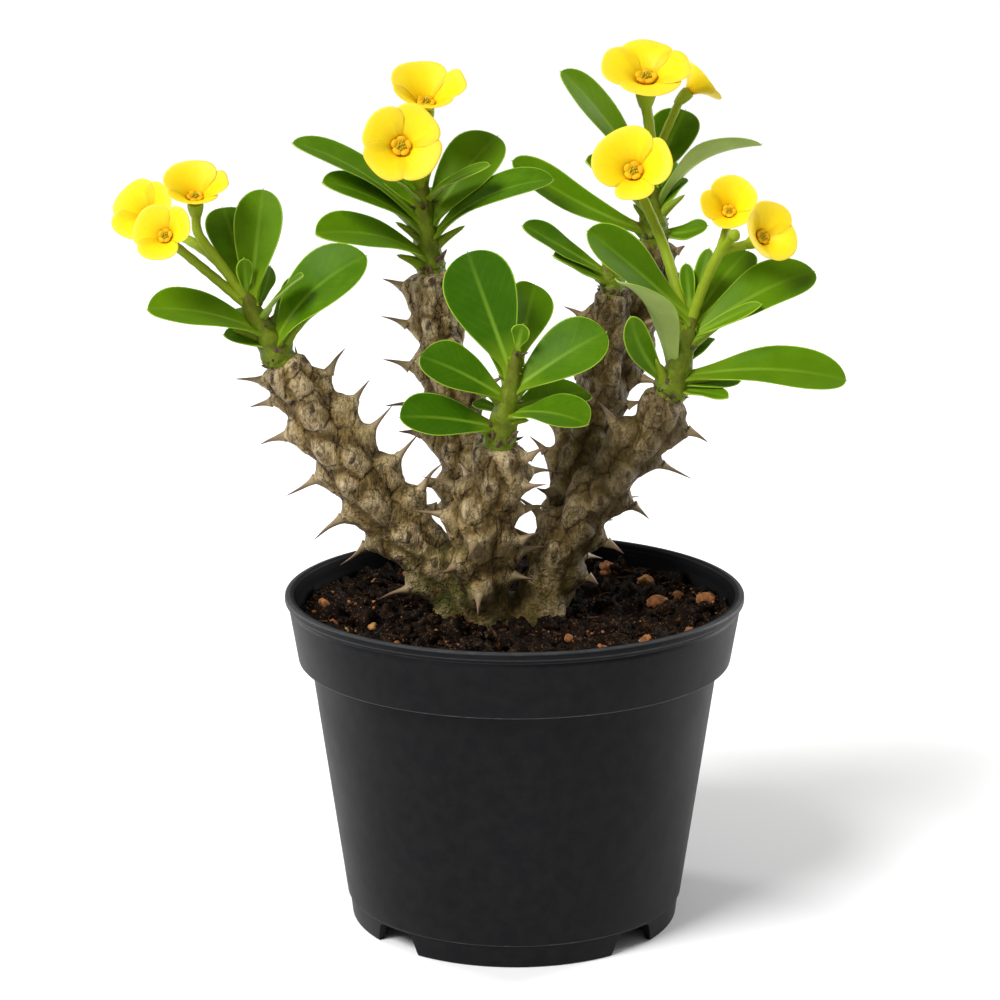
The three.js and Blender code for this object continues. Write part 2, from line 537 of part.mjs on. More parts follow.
function isPodarium(curve, ring, corner) {
  const rings = branchRings(curve);
  const onFile = corner % 2 === 0 && (ring + corner / 2) % 2 === 0;
  return onFile && ring < rings && curve.getPointAt(ring / rings).z > LOWEST_PODARIUM;
}

function branchTube(branch, curve) {
  const rings = branchRings(curve);
  const corners = 2 * PODARIUM_FILES;
  const radiusAt = (ring, corner) => {
    const core = blend(branch.radii, ring / rings);
    if (ring === 0 || ring === rings) return core;
    if (isPodarium(curve, ring, corner)) return core + PODARIUM_HEIGHT;
    return corner % 2 === 0 ? core + FILE_HEIGHT : core;
  };
  return tube(curve, corners, rings, radiusAt, FILE_TWIST);
}

// One spine: a slim three-sided cone from inside the branch outwards, leaning along the branch.
function spine(branch, curve, { t, angle, lean, length }) {
  const { along, side, front } = frameAt(curve, t);
  const outward = new THREE.Vector3()
    .addScaledVector(side, Math.sin(angle))
    .addScaledVector(front, Math.cos(angle));
  const aim = outward.clone().addScaledVector(along, lean).normalize();
  const whole = length + SPINE_BURIED;
  const cone = new THREE.ConeGeometry(SPINE_ROOT_RADIUS, whole, 3, 1);
  cone.translate(0, whole / 2, 0);
  cone.applyQuaternion(new THREE.Quaternion().setFromUnitVectors(new THREE.Vector3(0, 1, 0), aim));
  const root = blend(branch.radii, t) + PODARIUM_HEIGHT - SPINE_BURIED;
  const foot = curve.getPointAt(t).addScaledVector(outward, root);
  cone.translate(foot.x, foot.y, foot.z);
  return { cone, foot, tip: foot.clone().addScaledVector(aim, whole) };
}

function seenSpines(name) {
  return SEEN_SPINES[name].map(([t, degrees, lean, length]) => (
    { t, angle: THREE.MathUtils.degToRad(degrees), lean, length }));
}

// Spines on some of the other podaria. Old ones, low on the branch, lean down.
function otherSpines(curve, branchKey) {
  const rings = branchRings(curve);
  const found = [];
  for (let ring = 1; ring < rings; ring += 1) {
    for (let file = 0; file < PODARIUM_FILES; file += 1) {
      const key = branchKey + ring * 31 + file * 7;
      if (!isPodarium(curve, ring, 2 * file) || chance(key) > SPINE_SHARE) continue;
      const t = ring / rings;
      const angle = (2 * Math.PI * file) / PODARIUM_FILES + FILE_TWIST * curve.getLength() * t;
      const lean = blend(SPINE_LEANS, t) + 0.4 * (chance(key + 1) - 0.5);
      const length = SPINE_LENGTH * (0.75 + 0.35 * chance(key + 2));
      found.push({ t, angle, lean, length });
    }
  }
  return found;
}

// A spine is left off where it would pierce a leaf or reach the soil, or crowd an earlier one.
function branchSpines(name, branch, curve, branchKey, foliage) {
  const kept = [];
  const feet = [];
  for (const plan of [...seenSpines(name), ...otherSpines(curve, branchKey)]) {
    const { cone, foot, tip } = spine(branch, curve, plan);
    const crowded = feet.some((other) => other.distanceTo(foot) < SPINE_SPACING);
    const seen = feet.length < SEEN_SPINES[name].length;
    if (tip.z < SOIL_LEVEL + 3 || (crowded && !seen)) continue;
    const solid = solidFrom(cone);
    if (!solid.intersect(foliage).isEmpty()) continue;
    kept.push(solid);
    feet.push(foot);
  }
  return kept;
}

function makeWood(foliage) {
  const pieces = [ovalPlug(ROOT_BOTTOM, ROOT_TOP, 0)];
  Object.entries(BRANCHES).forEach(([name, branch], index) => {
    const curve = branchCurve(branch);
    const spines = branchSpines(name, branch, curve, 1000 * (index + 1), foliage);
    pieces.push(branchTube(branch, curve), ...spines);
  });
  return joined(pieces);
}

// Leafy shoots
const LEAF_SHARES = [0, 0.2, 0.45, 0.7, 0.9, 1];
const SMALL_LEAF_SHARES = [0, 0.35, 0.75, 1];
const SMALL_LEAF = 10; // a leaf narrower than this has fewer points

const LEAF_BASE = 0.22; // the width at its base, as a share of the broadest
const LEAF_PEAK = 0.324; // the greatest value of the curve below
const LEAF_HOLLOW = 0.18; // its edges stand this share of its half-width above its middle

// Half the width of an egg-shaped leaf, broadest beyond its middle, as a share of the broadest.
function leafOutline(u) {
  return Math.max((u ** 1.3 * (1 - u) ** 0.55) / LEAF_PEAK, LEAF_BASE);
}

function leafBlade(base, leaf) {
  const tip = vector(leaf.tip);
  const length = base.distanceTo(tip);
  const along = tip.clone().sub(base).normalize();
  const up = vector(leaf.face);
  up.addScaledVector(along, -up.dot(along)).normalize();
  const across = new THREE.Vector3().crossVectors(up, along);
  const shares = leaf.wide < SMALL_LEAF ? SMALL_LEAF_SHARES : LEAF_SHARES;
  return sheet(shares, 2, (u, v, face) => {
    const half = (leaf.wide / 2) * leafOutline(u);
    const arch = 4 * u * (1 - u);
    const lift = leaf.rise * arch + LEAF_HOLLOW * half * v * v;
    return base.clone()
      .addScaledVector(along, length * u)
      .addScaledVector(across, half * v + (leaf.bend ?? 0) * arch)
      .addScaledVector(up, lift + (face * LEAF_THICKNESS) / 2);
  });
}

// The stem starts a gap above the flat top of its branch, in the branch's own direction.
function stemCurve(shoot) {
  const branch = branchCurve(BRANCHES[shoot.branch]);
  const top = branch.getPointAt(1);
  const along = branch.getTangentAt(1);
  const foot = top.clone().addScaledVector(along, GAP);
  const second = top.clone().addScaledVector(along, GAP + 1.5);
  return curveThrough([foot, second, ...shoot.stem.map(vector)]);
}

function thinTube(points, startRadius, endRadius) {
  const rings = points.length;
  const radiusAt = (ring) => THREE.MathUtils.lerp(startRadius, endRadius, ring / rings);
  return tube(curveThrough(points), 5, rings, radiusAt);
}

function bloomFrame(bloom) {
  const turn = THREE.MathUtils.degToRad(bloom.turn);
  const lift = THREE.MathUtils.degToRad(bloom.lift);
  const facing = new THREE.Vector3(
    Math.sin(turn) * Math.cos(lift), -Math.cos(turn) * Math.cos(lift), Math.sin(lift));
  const top = UP.clone().addScaledVector(facing, -facing.z).normalize();
  const right = new THREE.Vector3().crossVectors(top, facing);
  return { facing, top, right, centre: vector(bloom.centre), scale: bloom.across / 20 };
}

// Depths below the gland ring, for a bloom 20 mm across
const THROAT_TOP = 2.7;
const THROAT_BOTTOM = 4.3;
const CUP_BOTTOM = 8.5;
const CUP_RADII = [1.3, 2.3];

// The stalk of a bloom and the green cup that carries its bracts.
function bloomStalk(bloom, stem) {
  const { facing, centre, scale } = bloomFrame(bloom);
  const cupTop = centre.clone().addScaledVector(facing, -(THROAT_BOTTOM * scale + GAP));
  const cupFoot = centre.clone().addScaledVector(facing, -CUP_BOTTOM * scale);
  const start = stem.getPointAt(bloom.from);
  const radius = STALK_RADIUS * (0.5 + 0.5 * scale);
  const cup = tube(new THREE.LineCurve3(cupFoot, cupTop), 6, 1,
    (ring) => CUP_RADII[ring] * scale);
  const stalkEnd = cupFoot.clone().addScaledVector(facing, 1);
  return [thinTube([start, ...bloom.stalk.map(vector), stalkEnd], radius * 1.15, radius), cup];
}

function budOnStalk(bud, stem) {
  const tip = vector(bud.tip);
  const points = [stem.getPointAt(bud.from), ...bud.stalk.map(vector), tip];
  const knob = new THREE.IcosahedronGeometry(bud.radius, 0);
  knob.scale(1, 1, 1.5);
  knob.translate(tip.x, tip.y, tip.z);
  return [thinTube(points, STALK_RADIUS, STALK_RADIUS * 0.7), solidFrom(knob)];
}

function makeShoot(name, shoot) {
  const stem = stemCurve(shoot);
  const rings = shoot.radii.length;
  const pieces = [tube(stem, 6, rings, (ring) => blend(shoot.radii, ring / rings))];
  for (const leaf of shoot.leaves) pieces.push(leafBlade(stem.getPointAt(leaf.at), leaf));
  for (const bloom of Object.values(BLOOMS)) {
    if (bloom.shoot === name) pieces.push(...bloomStalk(bloom, stem));
  }
  if (BUD.shoot === name) pieces.push(...budOnStalk(BUD, stem));
  return joined(pieces);
}

// Blooms, with sizes for one that is 20 mm across
const BRACT_RADII = [2, 5.6, 10]; // rings of points from the throat to the rim
const BRACT_RISE = [0, 0.32, 1]; // the height of the last two, as a share of "cup"
const BRACT_CORNERS = [0.03, 0.2, 0.4, 0.6, 0.8, 0.97]; // points across a bract, as shares of its span
const BRACT_OVERLAP = 0.5; // every other bract lies over its neighbours
const BRACT_NOTCH = 0.88; // the rim's reach between two bracts, where 1 is a true circle

const GLAND_RADII = [1.5, 2.9]; // at the foot and at the top of the ring
const GLAND_LOBES = 0.6;
const GLAND_TOP = 0.3;

// The directions, in degrees, where one bract ends and the next begins.
function bractBounds(directions) {
  return directions.map((direction, i) => {
    const last = directions.length - 1;
    const next = i === last ? directions[0] + 360 : directions[i + 1];
    return (direction + next) / 2;
  });
}

// The direction, bract number and reach for a corner of the funnel's rings.
function bractCorner(bloom, corner) {
  const bounds = bractBounds(bloom.bracts);
  const count = bounds.length;
  const index = Math.floor(corner / BRACT_CORNERS.length) % count;
  const place = BRACT_CORNERS[corner % BRACT_CORNERS.length];
  const end = bounds[index];
  const start = index === 0 ? bounds[count - 1] - 360 : bounds[index - 1];
  const edge = place < 0.1 || place > 0.9;
  const reach = edge ? BRACT_NOTCH : 1.03 - 0.3 * (place - 0.5) ** 2;
  return { degrees: THREE.MathUtils.lerp(start, end, place), index, reach };
}

// The height of a point of the funnel: on its axis (ring -1), at the throat (0) or on a bract.
function bractHeight(bloom, ring, face, over) {
  const scale = bloom.across / 20;
  if (ring === -1) return -scale * (face > 0 ? THROAT_TOP : THROAT_BOTTOM);
  if (ring === 0) return -scale * THROAT_TOP - (face > 0 ? 0 : BRACT_THICKNESS);
  const layer = over ? BRACT_OVERLAP : -BRACT_OVERLAP;
  return scale * (bloom.cup * BRACT_RISE[ring] + layer) + (face * BRACT_THICKNESS) / 2;
}

// A funnel of broad round bracts, closed at the throat, turned from one profile.
function makeBloom(bloom) {
  const { facing, top, right, centre, scale } = bloomFrame(bloom);
  const upper = BRACT_RADII.map((radius) => new THREE.Vector2(radius, 1));
  const lower = BRACT_RADII.map((radius) => new THREE.Vector2(radius, -1));
  const profile = [new THREE.Vector2(0, -1), ...lower, ...upper.reverse(), new THREE.Vector2(0, 1)];
  const corners = bloom.bracts.length * BRACT_CORNERS.length;
  const funnel = new THREE.LatheGeometry(profile, corners);
  const position = funnel.attributes.position;
  for (let i = 0; i < position.count; i += 1) {
    const face = position.getY(i);
    const radius = Math.hypot(position.getX(i), position.getZ(i));
    const turn = Math.atan2(-position.getX(i), position.getZ(i)) / (2 * Math.PI);
    const corner = (Math.round(turn * corners) + corners) % corners;
    const { degrees, index, reach } = bractCorner(bloom, corner);
    const ring = BRACT_RADII.findIndex((value) => Math.abs(value - radius) < 0.01);
    const distance = radius * (ring === 2 ? reach : (1 + reach) / 2);
    const angle = THREE.MathUtils.degToRad(degrees);
    const point = centre.clone()
      .addScaledVector(top, scale * distance * Math.cos(angle))
      .addScaledVector(right, scale * distance * Math.sin(angle))
      .addScaledVector(facing, bractHeight(bloom, ring, face, index % 2 === 0));
    position.setXYZ(i, point.x, point.y, point.z);
  }
  return solidFrom(funnel);
}

// Five fleshy glands in one ring, standing just clear of the throat.
function makeGlands(bloom) {
  const { facing, centre, scale } = bloomFrame(bloom);
  const low = centre.clone().addScaledVector(facing, -THROAT_TOP * scale + GAP);
  const high = centre.clone().addScaledVector(facing, GLAND_TOP * scale);
  const radiusAt = (ring, corner) => (GLAND_RADII[ring] - ring * GLAND_LOBES * (corner % 2)) * scale;
  return tube(new THREE.LineCurve3(low, high), 10, 1, radiusAt);
}

// The whole object
const shootSolids = Object.entries(SHOOTS).map(([name, shoot]) => [name, makeShoot(name, shoot)]);
const foliage = joined(shootSolids.map(([, solid]) => solid));

const object = new THREE.Group();
object.name = 'potted_euphorbia';
object.add(meshFrom(makePot(), 'pot', FINISH.pot));
object.add(meshFrom(makeSoil(), 'soil', FINISH.soil));
object.add(meshFrom(makeWood(foliage), 'wood', FINISH.wood));
for (const [name, solid] of shootSolids) object.add(meshFrom(solid, name, FINISH.shoot));
for (const [name, bloom] of Object.entries(BLOOMS)) {
  object.add(meshFrom(makeBloom(bloom), `bloom_${name}`, FINISH.bloom));
  object.add(meshFrom(makeGlands(bloom), `glands_${name}`, FINISH.glands));
}

export default object;
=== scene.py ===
# %% [markdown]
# # A potted euphorbia with yellow blooms
# The real object is a small spiny plant in a black plastic nursery pot. Its sizes and its plain
# solids come from the CAD model, which the first call loads and which nothing here moves.
# Each finer piece below stands in for one of those solids. Tables give the course of
# every branch, leaf and bloom, so that the fine pieces lie just where the plain ones do.

# %% The CAD frame
import math
from collections import namedtuple

import bpy
import bmesh
import numpy as np
from mathutils import Matrix, Vector, bvhtree, kdtree, noise


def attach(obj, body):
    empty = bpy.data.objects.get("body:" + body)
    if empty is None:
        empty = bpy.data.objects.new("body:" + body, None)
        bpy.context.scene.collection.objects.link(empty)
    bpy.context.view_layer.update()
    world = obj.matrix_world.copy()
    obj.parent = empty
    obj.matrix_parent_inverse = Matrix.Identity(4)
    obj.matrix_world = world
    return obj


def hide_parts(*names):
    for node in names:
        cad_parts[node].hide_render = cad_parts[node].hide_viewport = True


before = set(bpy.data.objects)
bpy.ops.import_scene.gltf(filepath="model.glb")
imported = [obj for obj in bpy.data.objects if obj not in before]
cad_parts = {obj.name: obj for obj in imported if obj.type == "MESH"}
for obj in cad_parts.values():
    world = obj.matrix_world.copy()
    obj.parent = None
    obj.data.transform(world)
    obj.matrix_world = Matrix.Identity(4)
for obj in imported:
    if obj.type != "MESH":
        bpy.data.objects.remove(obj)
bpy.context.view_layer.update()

# %% [markdown]
# ## Camera and studio
# The photograph looks down a little, from far enough away that the pot's rim is a slim ellipse.
# The angle and the lens were found from the pot alone: its rim, its collar and its foot are
# circles, and only one place of the camera puts all three where the photograph shows them.
# The light is that of a product photograph: a pale room, one big soft light high on the left,
# like a large softbox far away, and two tall ones at the sides, which give the black pot its
# pale edges. A sun lamp with a wide angle is used for the main light, because it lights the
# floor evenly as far as the camera sees.

# %% The camera
MM = 0.001
CAMERA_PLACE = (-3.8 * MM, -723 * MM, 284.2 * MM)
CAMERA_PITCH, CAMERA_LENS = 13.4, 103
camera = bpy.data.objects.new("camera", bpy.data.cameras.new("camera"))
bpy.context.scene.collection.objects.link(camera)
camera.location = CAMERA_PLACE
camera.rotation_euler = (math.radians(90 - CAMERA_PITCH), 0, 0)
camera.data.sensor_width = 36
camera.data.lens = CAMERA_LENS
bpy.context.scene.camera = camera
print("the camera stands", round(camera.location.length, 3), "m from the pot's base")

# %% Small helpers for shader nodes
def set_inputs(node, inputs):
    """Sets a node's inputs. One given as a socket is linked, any other value is set."""
    for key, value in inputs.items():
        if isinstance(value, bpy.types.NodeSocket):
            node.id_data.links.new(value, node.inputs[key])
        else:
            node.inputs[key].default_value = value


def add_node(tree, kind, inputs, **settings):
    made = tree.nodes.new(kind)
    for key, value in settings.items():
        setattr(made, key, value)
    set_inputs(made, inputs)
    return made


def tree_of(*values):
    """The node tree of the first socket among some values."""
    return next(v.id_data for v in values if isinstance(v, bpy.types.NodeSocket))


def worked(operation, first, second=0.0):
    """One step of arithmetic."""
    return add_node(tree_of(first, second), "ShaderNodeMath", {0: first, 1: second},
                    operation=operation).outputs[0]


def times(first, second):
    return worked("MULTIPLY", first, second)


def plus(first, second):
    return worked("ADD", first, second)


def minus(first, second):
    return worked("SUBTRACT", first, second)


def ranged(value, low, high, new_low=0.0, new_high=1.0, kind="LINEAR"):
    """Takes a value's range from low..high to new_low..new_high, and stops at both ends."""
    return add_node(tree_of(value), "ShaderNodeMapRange", {
        "Value": value, "From Min": low, "From Max": high, "To Min": new_low, "To Max": new_high},
        interpolation_type=kind).outputs["Result"]


def mixed(mask, first, second):
    """Goes from one colour to another with a mask. Each is a socket or red, green and blue."""
    first, second = ((*c, 1) if isinstance(c, tuple) else c for c in (first, second))
    return add_node(tree_of(mask), "ShaderNodeMix", {0: mask, 6: first, 7: second},
                    data_type="RGBA").outputs[2]


def layered(base, *layers):
    """Lays colours over a base, one after the other, each through its own mask."""
    for mask, colour in layers:
        base = mixed(mask, base, colour)
    return base


def new_material(name):
    made = bpy.data.materials.new(name)
    made.use_nodes = True
    return made, made.node_tree


def finished(made, base, roughness, height, relief, specular=0.5, below=None):
    """Feeds a material's shader. relief is the strength and the distance in mm of its Bump node,
    below the weight and the reach by colour of the light scattered under the surface."""
    strength, distance = relief
    bump = add_node(made.node_tree, "ShaderNodeBump", {
        "Height": height, "Strength": strength, "Distance": distance * MM})
    shader = made.node_tree.nodes["Principled BSDF"]
    set_inputs(shader, {"Base Color": base, "Roughness": roughness,
                        "Normal": bump.outputs["Normal"], "Specular IOR Level": specular})
    if below:
        set_inputs(shader, {"Subsurface Weight": below[0], "Subsurface Radius": below[1],
                            "Subsurface Scale": 1.5 * MM})
    return made


def point_values(tree, *names):
    """The values that the mesh carries at each point."""
    return [add_node(tree, "ShaderNodeAttribute", {}, attribute_name=name).outputs["Fac"]
            for name in names]


print("a relief of 1 mm is", MM, "m in a Bump node")

# %% The floor, the white room and the lamps
FLOOR_REACH = 12.0
ROOM_STRENGTH = 0.33
SUN_STRENGTH, SUN_WIDTH, SUN_DIRECTION = 3.55, 26, (-0.5, -0.5, 0.75)
LAMP_WIDTH, LAMP_HEIGHT, LAMP_TARGET = 0.3, 0.9, (0, 0, 0.1)


def placed_item(name, data, place=(0, 0, 0), facing=None, axis="-Z"):
    """Puts data into the scene, with one of its axes turned in a direction."""
    item = bpy.data.objects.new(name, data)
    item.location = place
    if facing:
        item.rotation_euler = Vector(facing).to_track_quat(axis, "Y").to_euler()
    bpy.context.scene.collection.objects.link(item)
    return item


def make_floor():
    corners = [(x * FLOOR_REACH, y * FLOOR_REACH, 0) for x, y in ((-1, -1), (1, -1), (1, 1), (-1, 1))]
    mesh = bpy.data.meshes.new("floor")
    mesh.from_pydata(corners, [], [(0, 1, 2, 3)])
    made, tree = new_material("pale_floor")
    set_inputs(tree.nodes["Principled BSDF"], {
        "Base Color": (0.9, 0.9, 0.9, 1), "Roughness": 0.9, "Specular IOR Level": 0.1})
    mesh.materials.append(made)
    placed_item("floor", mesh)


def make_lamp(name, place, power):
    lamp = placed_item(name, bpy.data.lights.new(name, "AREA"), place,
                       Vector(LAMP_TARGET) - Vector(place))
    lamp.data.shape = "RECTANGLE"
    lamp.data.size, lamp.data.size_y = LAMP_WIDTH, LAMP_HEIGHT
    lamp.data.energy = power


make_floor()
room = bpy.data.worlds.new("white_room")
room.use_nodes = True
set_inputs(room.node_tree.nodes["Background"], {"Color": (1, 1, 1, 1), "Strength": ROOM_STRENGTH})
bpy.context.scene.world = room
bpy.context.scene.view_settings.view_transform = "Standard"
main_light = placed_item("main_light", bpy.data.lights.new("main_light", "SUN"),
                         facing=SUN_DIRECTION, axis="Z")
main_light.data.energy = SUN_STRENGTH
main_light.data.angle = math.radians(SUN_WIDTH)
make_lamp("left_lamp", (-0.95, 0.6, 0.35), 8)
make_lamp("right_lamp", (0.95, 0.6, 0.35), 11)

# %% [markdown]
# ## Smooth courses and closed surfaces
# Branches, stems, leaves and stalks all follow a smooth curve through a few given points.
# One curve through those points would also be possible with Blender's own curve objects, but
# the shapes need to know the length along the curve and the directions across it, so a short
# class of our own is simpler. Every surface is gathered as plain lists of points and faces,
# with a few values at each point, such as how far along its leaf it lies, which the materials
# read later. All sizes are in millimetres until a piece is made.

# %% Curves
def unit(v):
    return v / np.linalg.norm(v)


def spread(key):
    """A repeatable number from 0 to 1 for each key, the same one as in the CAD model."""
    wave = math.sin(key * 12.9898 + 4.1414) * 43758.5453
    return wave - math.floor(wave)


def ramp(value, low, high):
    """Goes from 0 at low to 1 at high, and stops at both ends. low may be the greater one."""
    return np.clip((value - low) / (high - low), 0, 1)


def blended(values, t):
    """The value at share t of values that are spread evenly along something."""
    return float(np.interp(t, np.linspace(0, 1, len(values)), values))


class Course:
    """A smooth curve through a few points, with its length and its directions."""

    STEPS = 40

    def __init__(self, points):
        p = np.array(points, float)
        ends = np.vstack([2 * p[0] - p[1], p, 2 * p[-1] - p[-2]])
        t = np.linspace(0, 1, self.STEPS, endpoint=False)[:, None]
        parts = []
        for before, start, stop, after in zip(ends, ends[1:], ends[2:], ends[3:]):
            leave, arrive = (stop - before) / 2, (after - start) / 2
            parts.append((2 * t**3 - 3 * t**2 + 1) * start + (t**3 - 2 * t**2 + t) * leave
                         + (3 * t**2 - 2 * t**3) * stop + (t**3 - t**2) * arrive)
        self.points = np.vstack(parts + [p[-1:]])
        steps = np.linalg.norm(np.diff(self.points, axis=0), axis=1)
        self.ways = np.concatenate([[0], np.cumsum(steps)])
        self.length = self.ways[-1]

    def at(self, t):
        way = np.clip(t, 0, 1) * self.length
        return np.array([np.interp(way, self.ways, self.points[:, k]) for k in range(3)]).T

    def axes(self, t):
        """Along the curve, to its right and to its front, at share t."""
        step = 0.004
        along = unit(self.at(min(t + step, 1)) - self.at(max(t - step, 0)))
        side = unit(np.array([1.0, 0, 0]) - along[0] * along)
        return along, side, np.cross(side, along)

    def out(self, t, angle):
        """The direction away from the curve at share t. Angle 0 is its front, 90 degrees its right."""
        _, side, front = self.axes(t)
        return math.sin(angle) * side + math.cos(angle) * front


print("a course through the corners of a 10 mm square measures",
      round(Course([(0, 0, 0), (10, 0, 0), (10, 10, 0), (0, 10, 0)]).length, 1), "mm")

# %% Gathering a piece and making its mesh
class Surface:
    """Points and faces of one piece, with values at each point and a finish for each face."""

    def __init__(self):
        self.points, self.faces, self.finishes, self.values = [], [], [], {}
        self.count = 0

    def add(self, points, faces, finish=0, **values):
        points = np.asarray(points, float).reshape(-1, 3)
        for key in {**self.values, **values}:
            old = self.values.setdefault(key, [np.zeros(self.count)])
            old.append(np.broadcast_to(np.asarray(values.get(key, 0.0), float), (len(points),)))
        self.points.append(points)
        self.faces.extend([tuple(i + self.count for i in face) for face in faces])
        self.finishes.extend([finish] * len(faces))
        self.count += len(points)

    def mesh(self, name):
        """The piece as a mesh, in metres."""
        made = bpy.data.meshes.new(name)
        made.from_pydata((np.vstack(self.points) * MM).tolist(), [], self.faces)
        return made


def ring_faces(rows, columns, closed=True, flip=False):
    """Faces between rows of points. closed joins the last column to the first one."""
    faces = []
    for row in range(rows - 1):
        for column in range(columns if closed else columns - 1):
            after = (column + 1) % columns
            a, b = row * columns + column, row * columns + after
            face = (a, b, b + columns, a + columns)
            faces.append(face[::-1] if flip else face)
    return faces


def tube_faces(rows, sides, flip=False):
    """The faces of a closed tube: its wall and its two ends."""
    last = (rows - 1) * sides
    ends = [tuple(reversed(range(sides))), tuple(range(last, last + sides))]
    return ring_faces(rows, sides, flip=flip) + [end[::-1] if flip else end for end in ends]


def all_round(sides):
    return np.arange(sides) * 2 * math.pi / sides


def add_tube(surface, course, shares, sides, radius_at, finish=0, **values):
    """A closed tube round a curve. radius_at(t, angles) gives the radius all round at share t."""
    angles = all_round(sides)
    rows = []
    for t in shares:
        _, side, front = course.axes(t)
        reach = np.broadcast_to(radius_at(t, angles), (sides,))[:, None]
        rows.append(course.at(t) + reach * (np.sin(angles)[:, None] * side
                                            + np.cos(angles)[:, None] * front))
    surface.add(np.vstack(rows), tube_faces(len(rows), sides, flip=True), finish, **values)


def make_piece(name, surface, finishes, replaced=()):
    """Makes the Blender object, puts it on its body and hides the CAD parts that it replaces."""
    mesh = surface.mesh(name)
    mesh.polygons.foreach_set("use_smooth", [True] * len(mesh.polygons))
    mesh.polygons.foreach_set("material_index", surface.finishes)
    for key, parts in surface.values.items():
        layer = mesh.attributes.new(key, "FLOAT", "POINT")
        layer.data.foreach_set("value", np.concatenate(parts).astype(np.float32))
    for finish in finishes:
        mesh.materials.append(finish)
    mesh.update()
    piece = placed_item(name, mesh)
    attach(piece, "root")
    if replaced:
        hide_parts(*replaced)
    print(name, "has", sum(len(face) - 2 for face in surface.faces), "triangles")
    return piece


def as_changed(item):
    """The mesh of an item with its modifiers at work."""
    return bpy.data.meshes.new_from_object(
        item.evaluated_get(bpy.context.evaluated_depsgraph_get()))


def wave_noise(points, size, seed=0.0, levels=3):
    """Soft noise from about -1 to 1 at each point, with lumps of the given size in mm."""
    offset = Vector((seed * 7.31, seed * 3.17, seed * 5.77))
    return np.array([noise.fractal(Vector(p / size) + offset, 0.9, 2.1, levels) for p in points])


print("a tube of 3 rows and 6 sides has", len(tube_faces(3, 6)), "faces")

# %% [markdown]
# ## Effects that several finishes share
# Nothing that grows or is moulded has one even colour. Three effects come back in almost every
# finish of this plant, so each is a node group: soft blotches, fine grain for the relief, and
# small scattered specks. They give masks and heights only, and each material mixes its own
# colours with them.

# %% Node groups for blotches, grain and specks
def new_group(name, inputs, output):
    """A group of nodes. It gives the group, the sockets of its inputs, and the one to feed."""
    group = bpy.data.node_groups.new(name, "ShaderNodeTree")
    for label, value, low, high in inputs:
        socket = group.interface.new_socket(name=label, in_out="INPUT", socket_type="NodeSocketFloat")
        socket.default_value, socket.min_value, socket.max_value = value, low, high
    group.interface.new_socket(name=output, in_out="OUTPUT", socket_type="NodeSocketFloat")
    given, out = group.nodes.new("NodeGroupInput"), group.nodes.new("NodeGroupOutput")
    return group, given.outputs, out.inputs[output]


def object_place(tree):
    return add_node(tree, "ShaderNodeTexCoord", {}).outputs["Object"]


def noise_at(place, scale, detail, roughness=0.5, distortion=0.0, output="Fac"):
    return add_node(tree_of(place), "ShaderNodeTexNoise", {
        "Vector": place, "Scale": scale, "Detail": detail, "Roughness": roughness,
        "Distortion": distortion}).outputs[output]


def cells_at(place, scale, feature="F1"):
    return add_node(tree_of(place), "ShaderNodeTexVoronoi", {"Vector": place, "Scale": scale},
                    feature=feature).outputs["Distance"]


def moved(place, by):
    return add_node(tree_of(place), "ShaderNodeVectorMath", {0: place, 1: by},
                    operation="ADD").outputs[0]


def stretched(place, upwards):
    """Makes a pattern longer up the plant: the smaller the number, the longer."""
    return add_node(tree_of(place), "ShaderNodeMapping", {
        "Vector": place, "Scale": (1.0, 1.0, upwards)}).outputs["Vector"]


def blotches_group():
    group, given, out = new_group("soft_blotches", [
        ("Per Metre", 120, 1, 5000), ("Hardness", 0.3, 0, 1), ("Shift", 0, -10, 10)], "Mask")
    cloud = noise_at(moved(object_place(group), given["Shift"]), given["Per Metre"], 4.0, 0.6)
    half = times(minus(1.0, given["Hardness"]), 0.3)
    group.links.new(ranged(cloud, minus(0.5, half), plus(0.5, half), kind="SMOOTHSTEP"), out)
    return group


def grain_group():
    group, given, out = new_group("fine_grain", [
        ("Per Metre", 2500, 1, 20000), ("Coarseness", 0.5, 0, 1)], "Height")
    fine = noise_at(object_place(group), given["Per Metre"], 3.0)
    wide = noise_at(object_place(group), times(given["Per Metre"], 0.22), 3.0)
    both = add_node(group, "ShaderNodeMix", {0: given["Coarseness"], 2: fine, 3: wide})
    group.links.new(both.outputs[0], out)
    return group


def specks_group():
    group, given, out = new_group("small_specks", [
        ("Per Metre", 600, 1, 5000), ("Size", 0.18, 0, 1)], "Mask")
    away = cells_at(object_place(group), given["Per Metre"])
    size = given["Size"]
    group.links.new(ranged(away, times(size, 0.55), size, 1.0, 0.0, "SMOOTHSTEP"), out)
    return group


BLOTCHES, GRAIN, SPECKS = blotches_group(), grain_group(), specks_group()


def placed(tree, group, *values):
    """Puts a shared group into a material. Its values come in the order of the group's inputs:
    per metre, then the hardness, coarseness, size or width, then the shift of blotches."""
    made = add_node(tree, "ShaderNodeGroup", dict(enumerate(values)), node_tree=group)
    return made.outputs[0]


print("shared effects:", [group.name for group in bpy.data.node_groups])

# %% [markdown]
# ## The pot
# A nursery pot is blown or moulded from thin black plastic: a rolled lip, a deep collar that
# lets pots stack, a tapering body and a low foot ring with four drain notches. It is round, so
# turning one outline about the axis gives it all. The CAD pot has few sides, so here the same
# outline is turned with many, and every corner is rounded, because a moulded edge always
# catches a thin line of light. The notches are cut with a Boolean modifier.

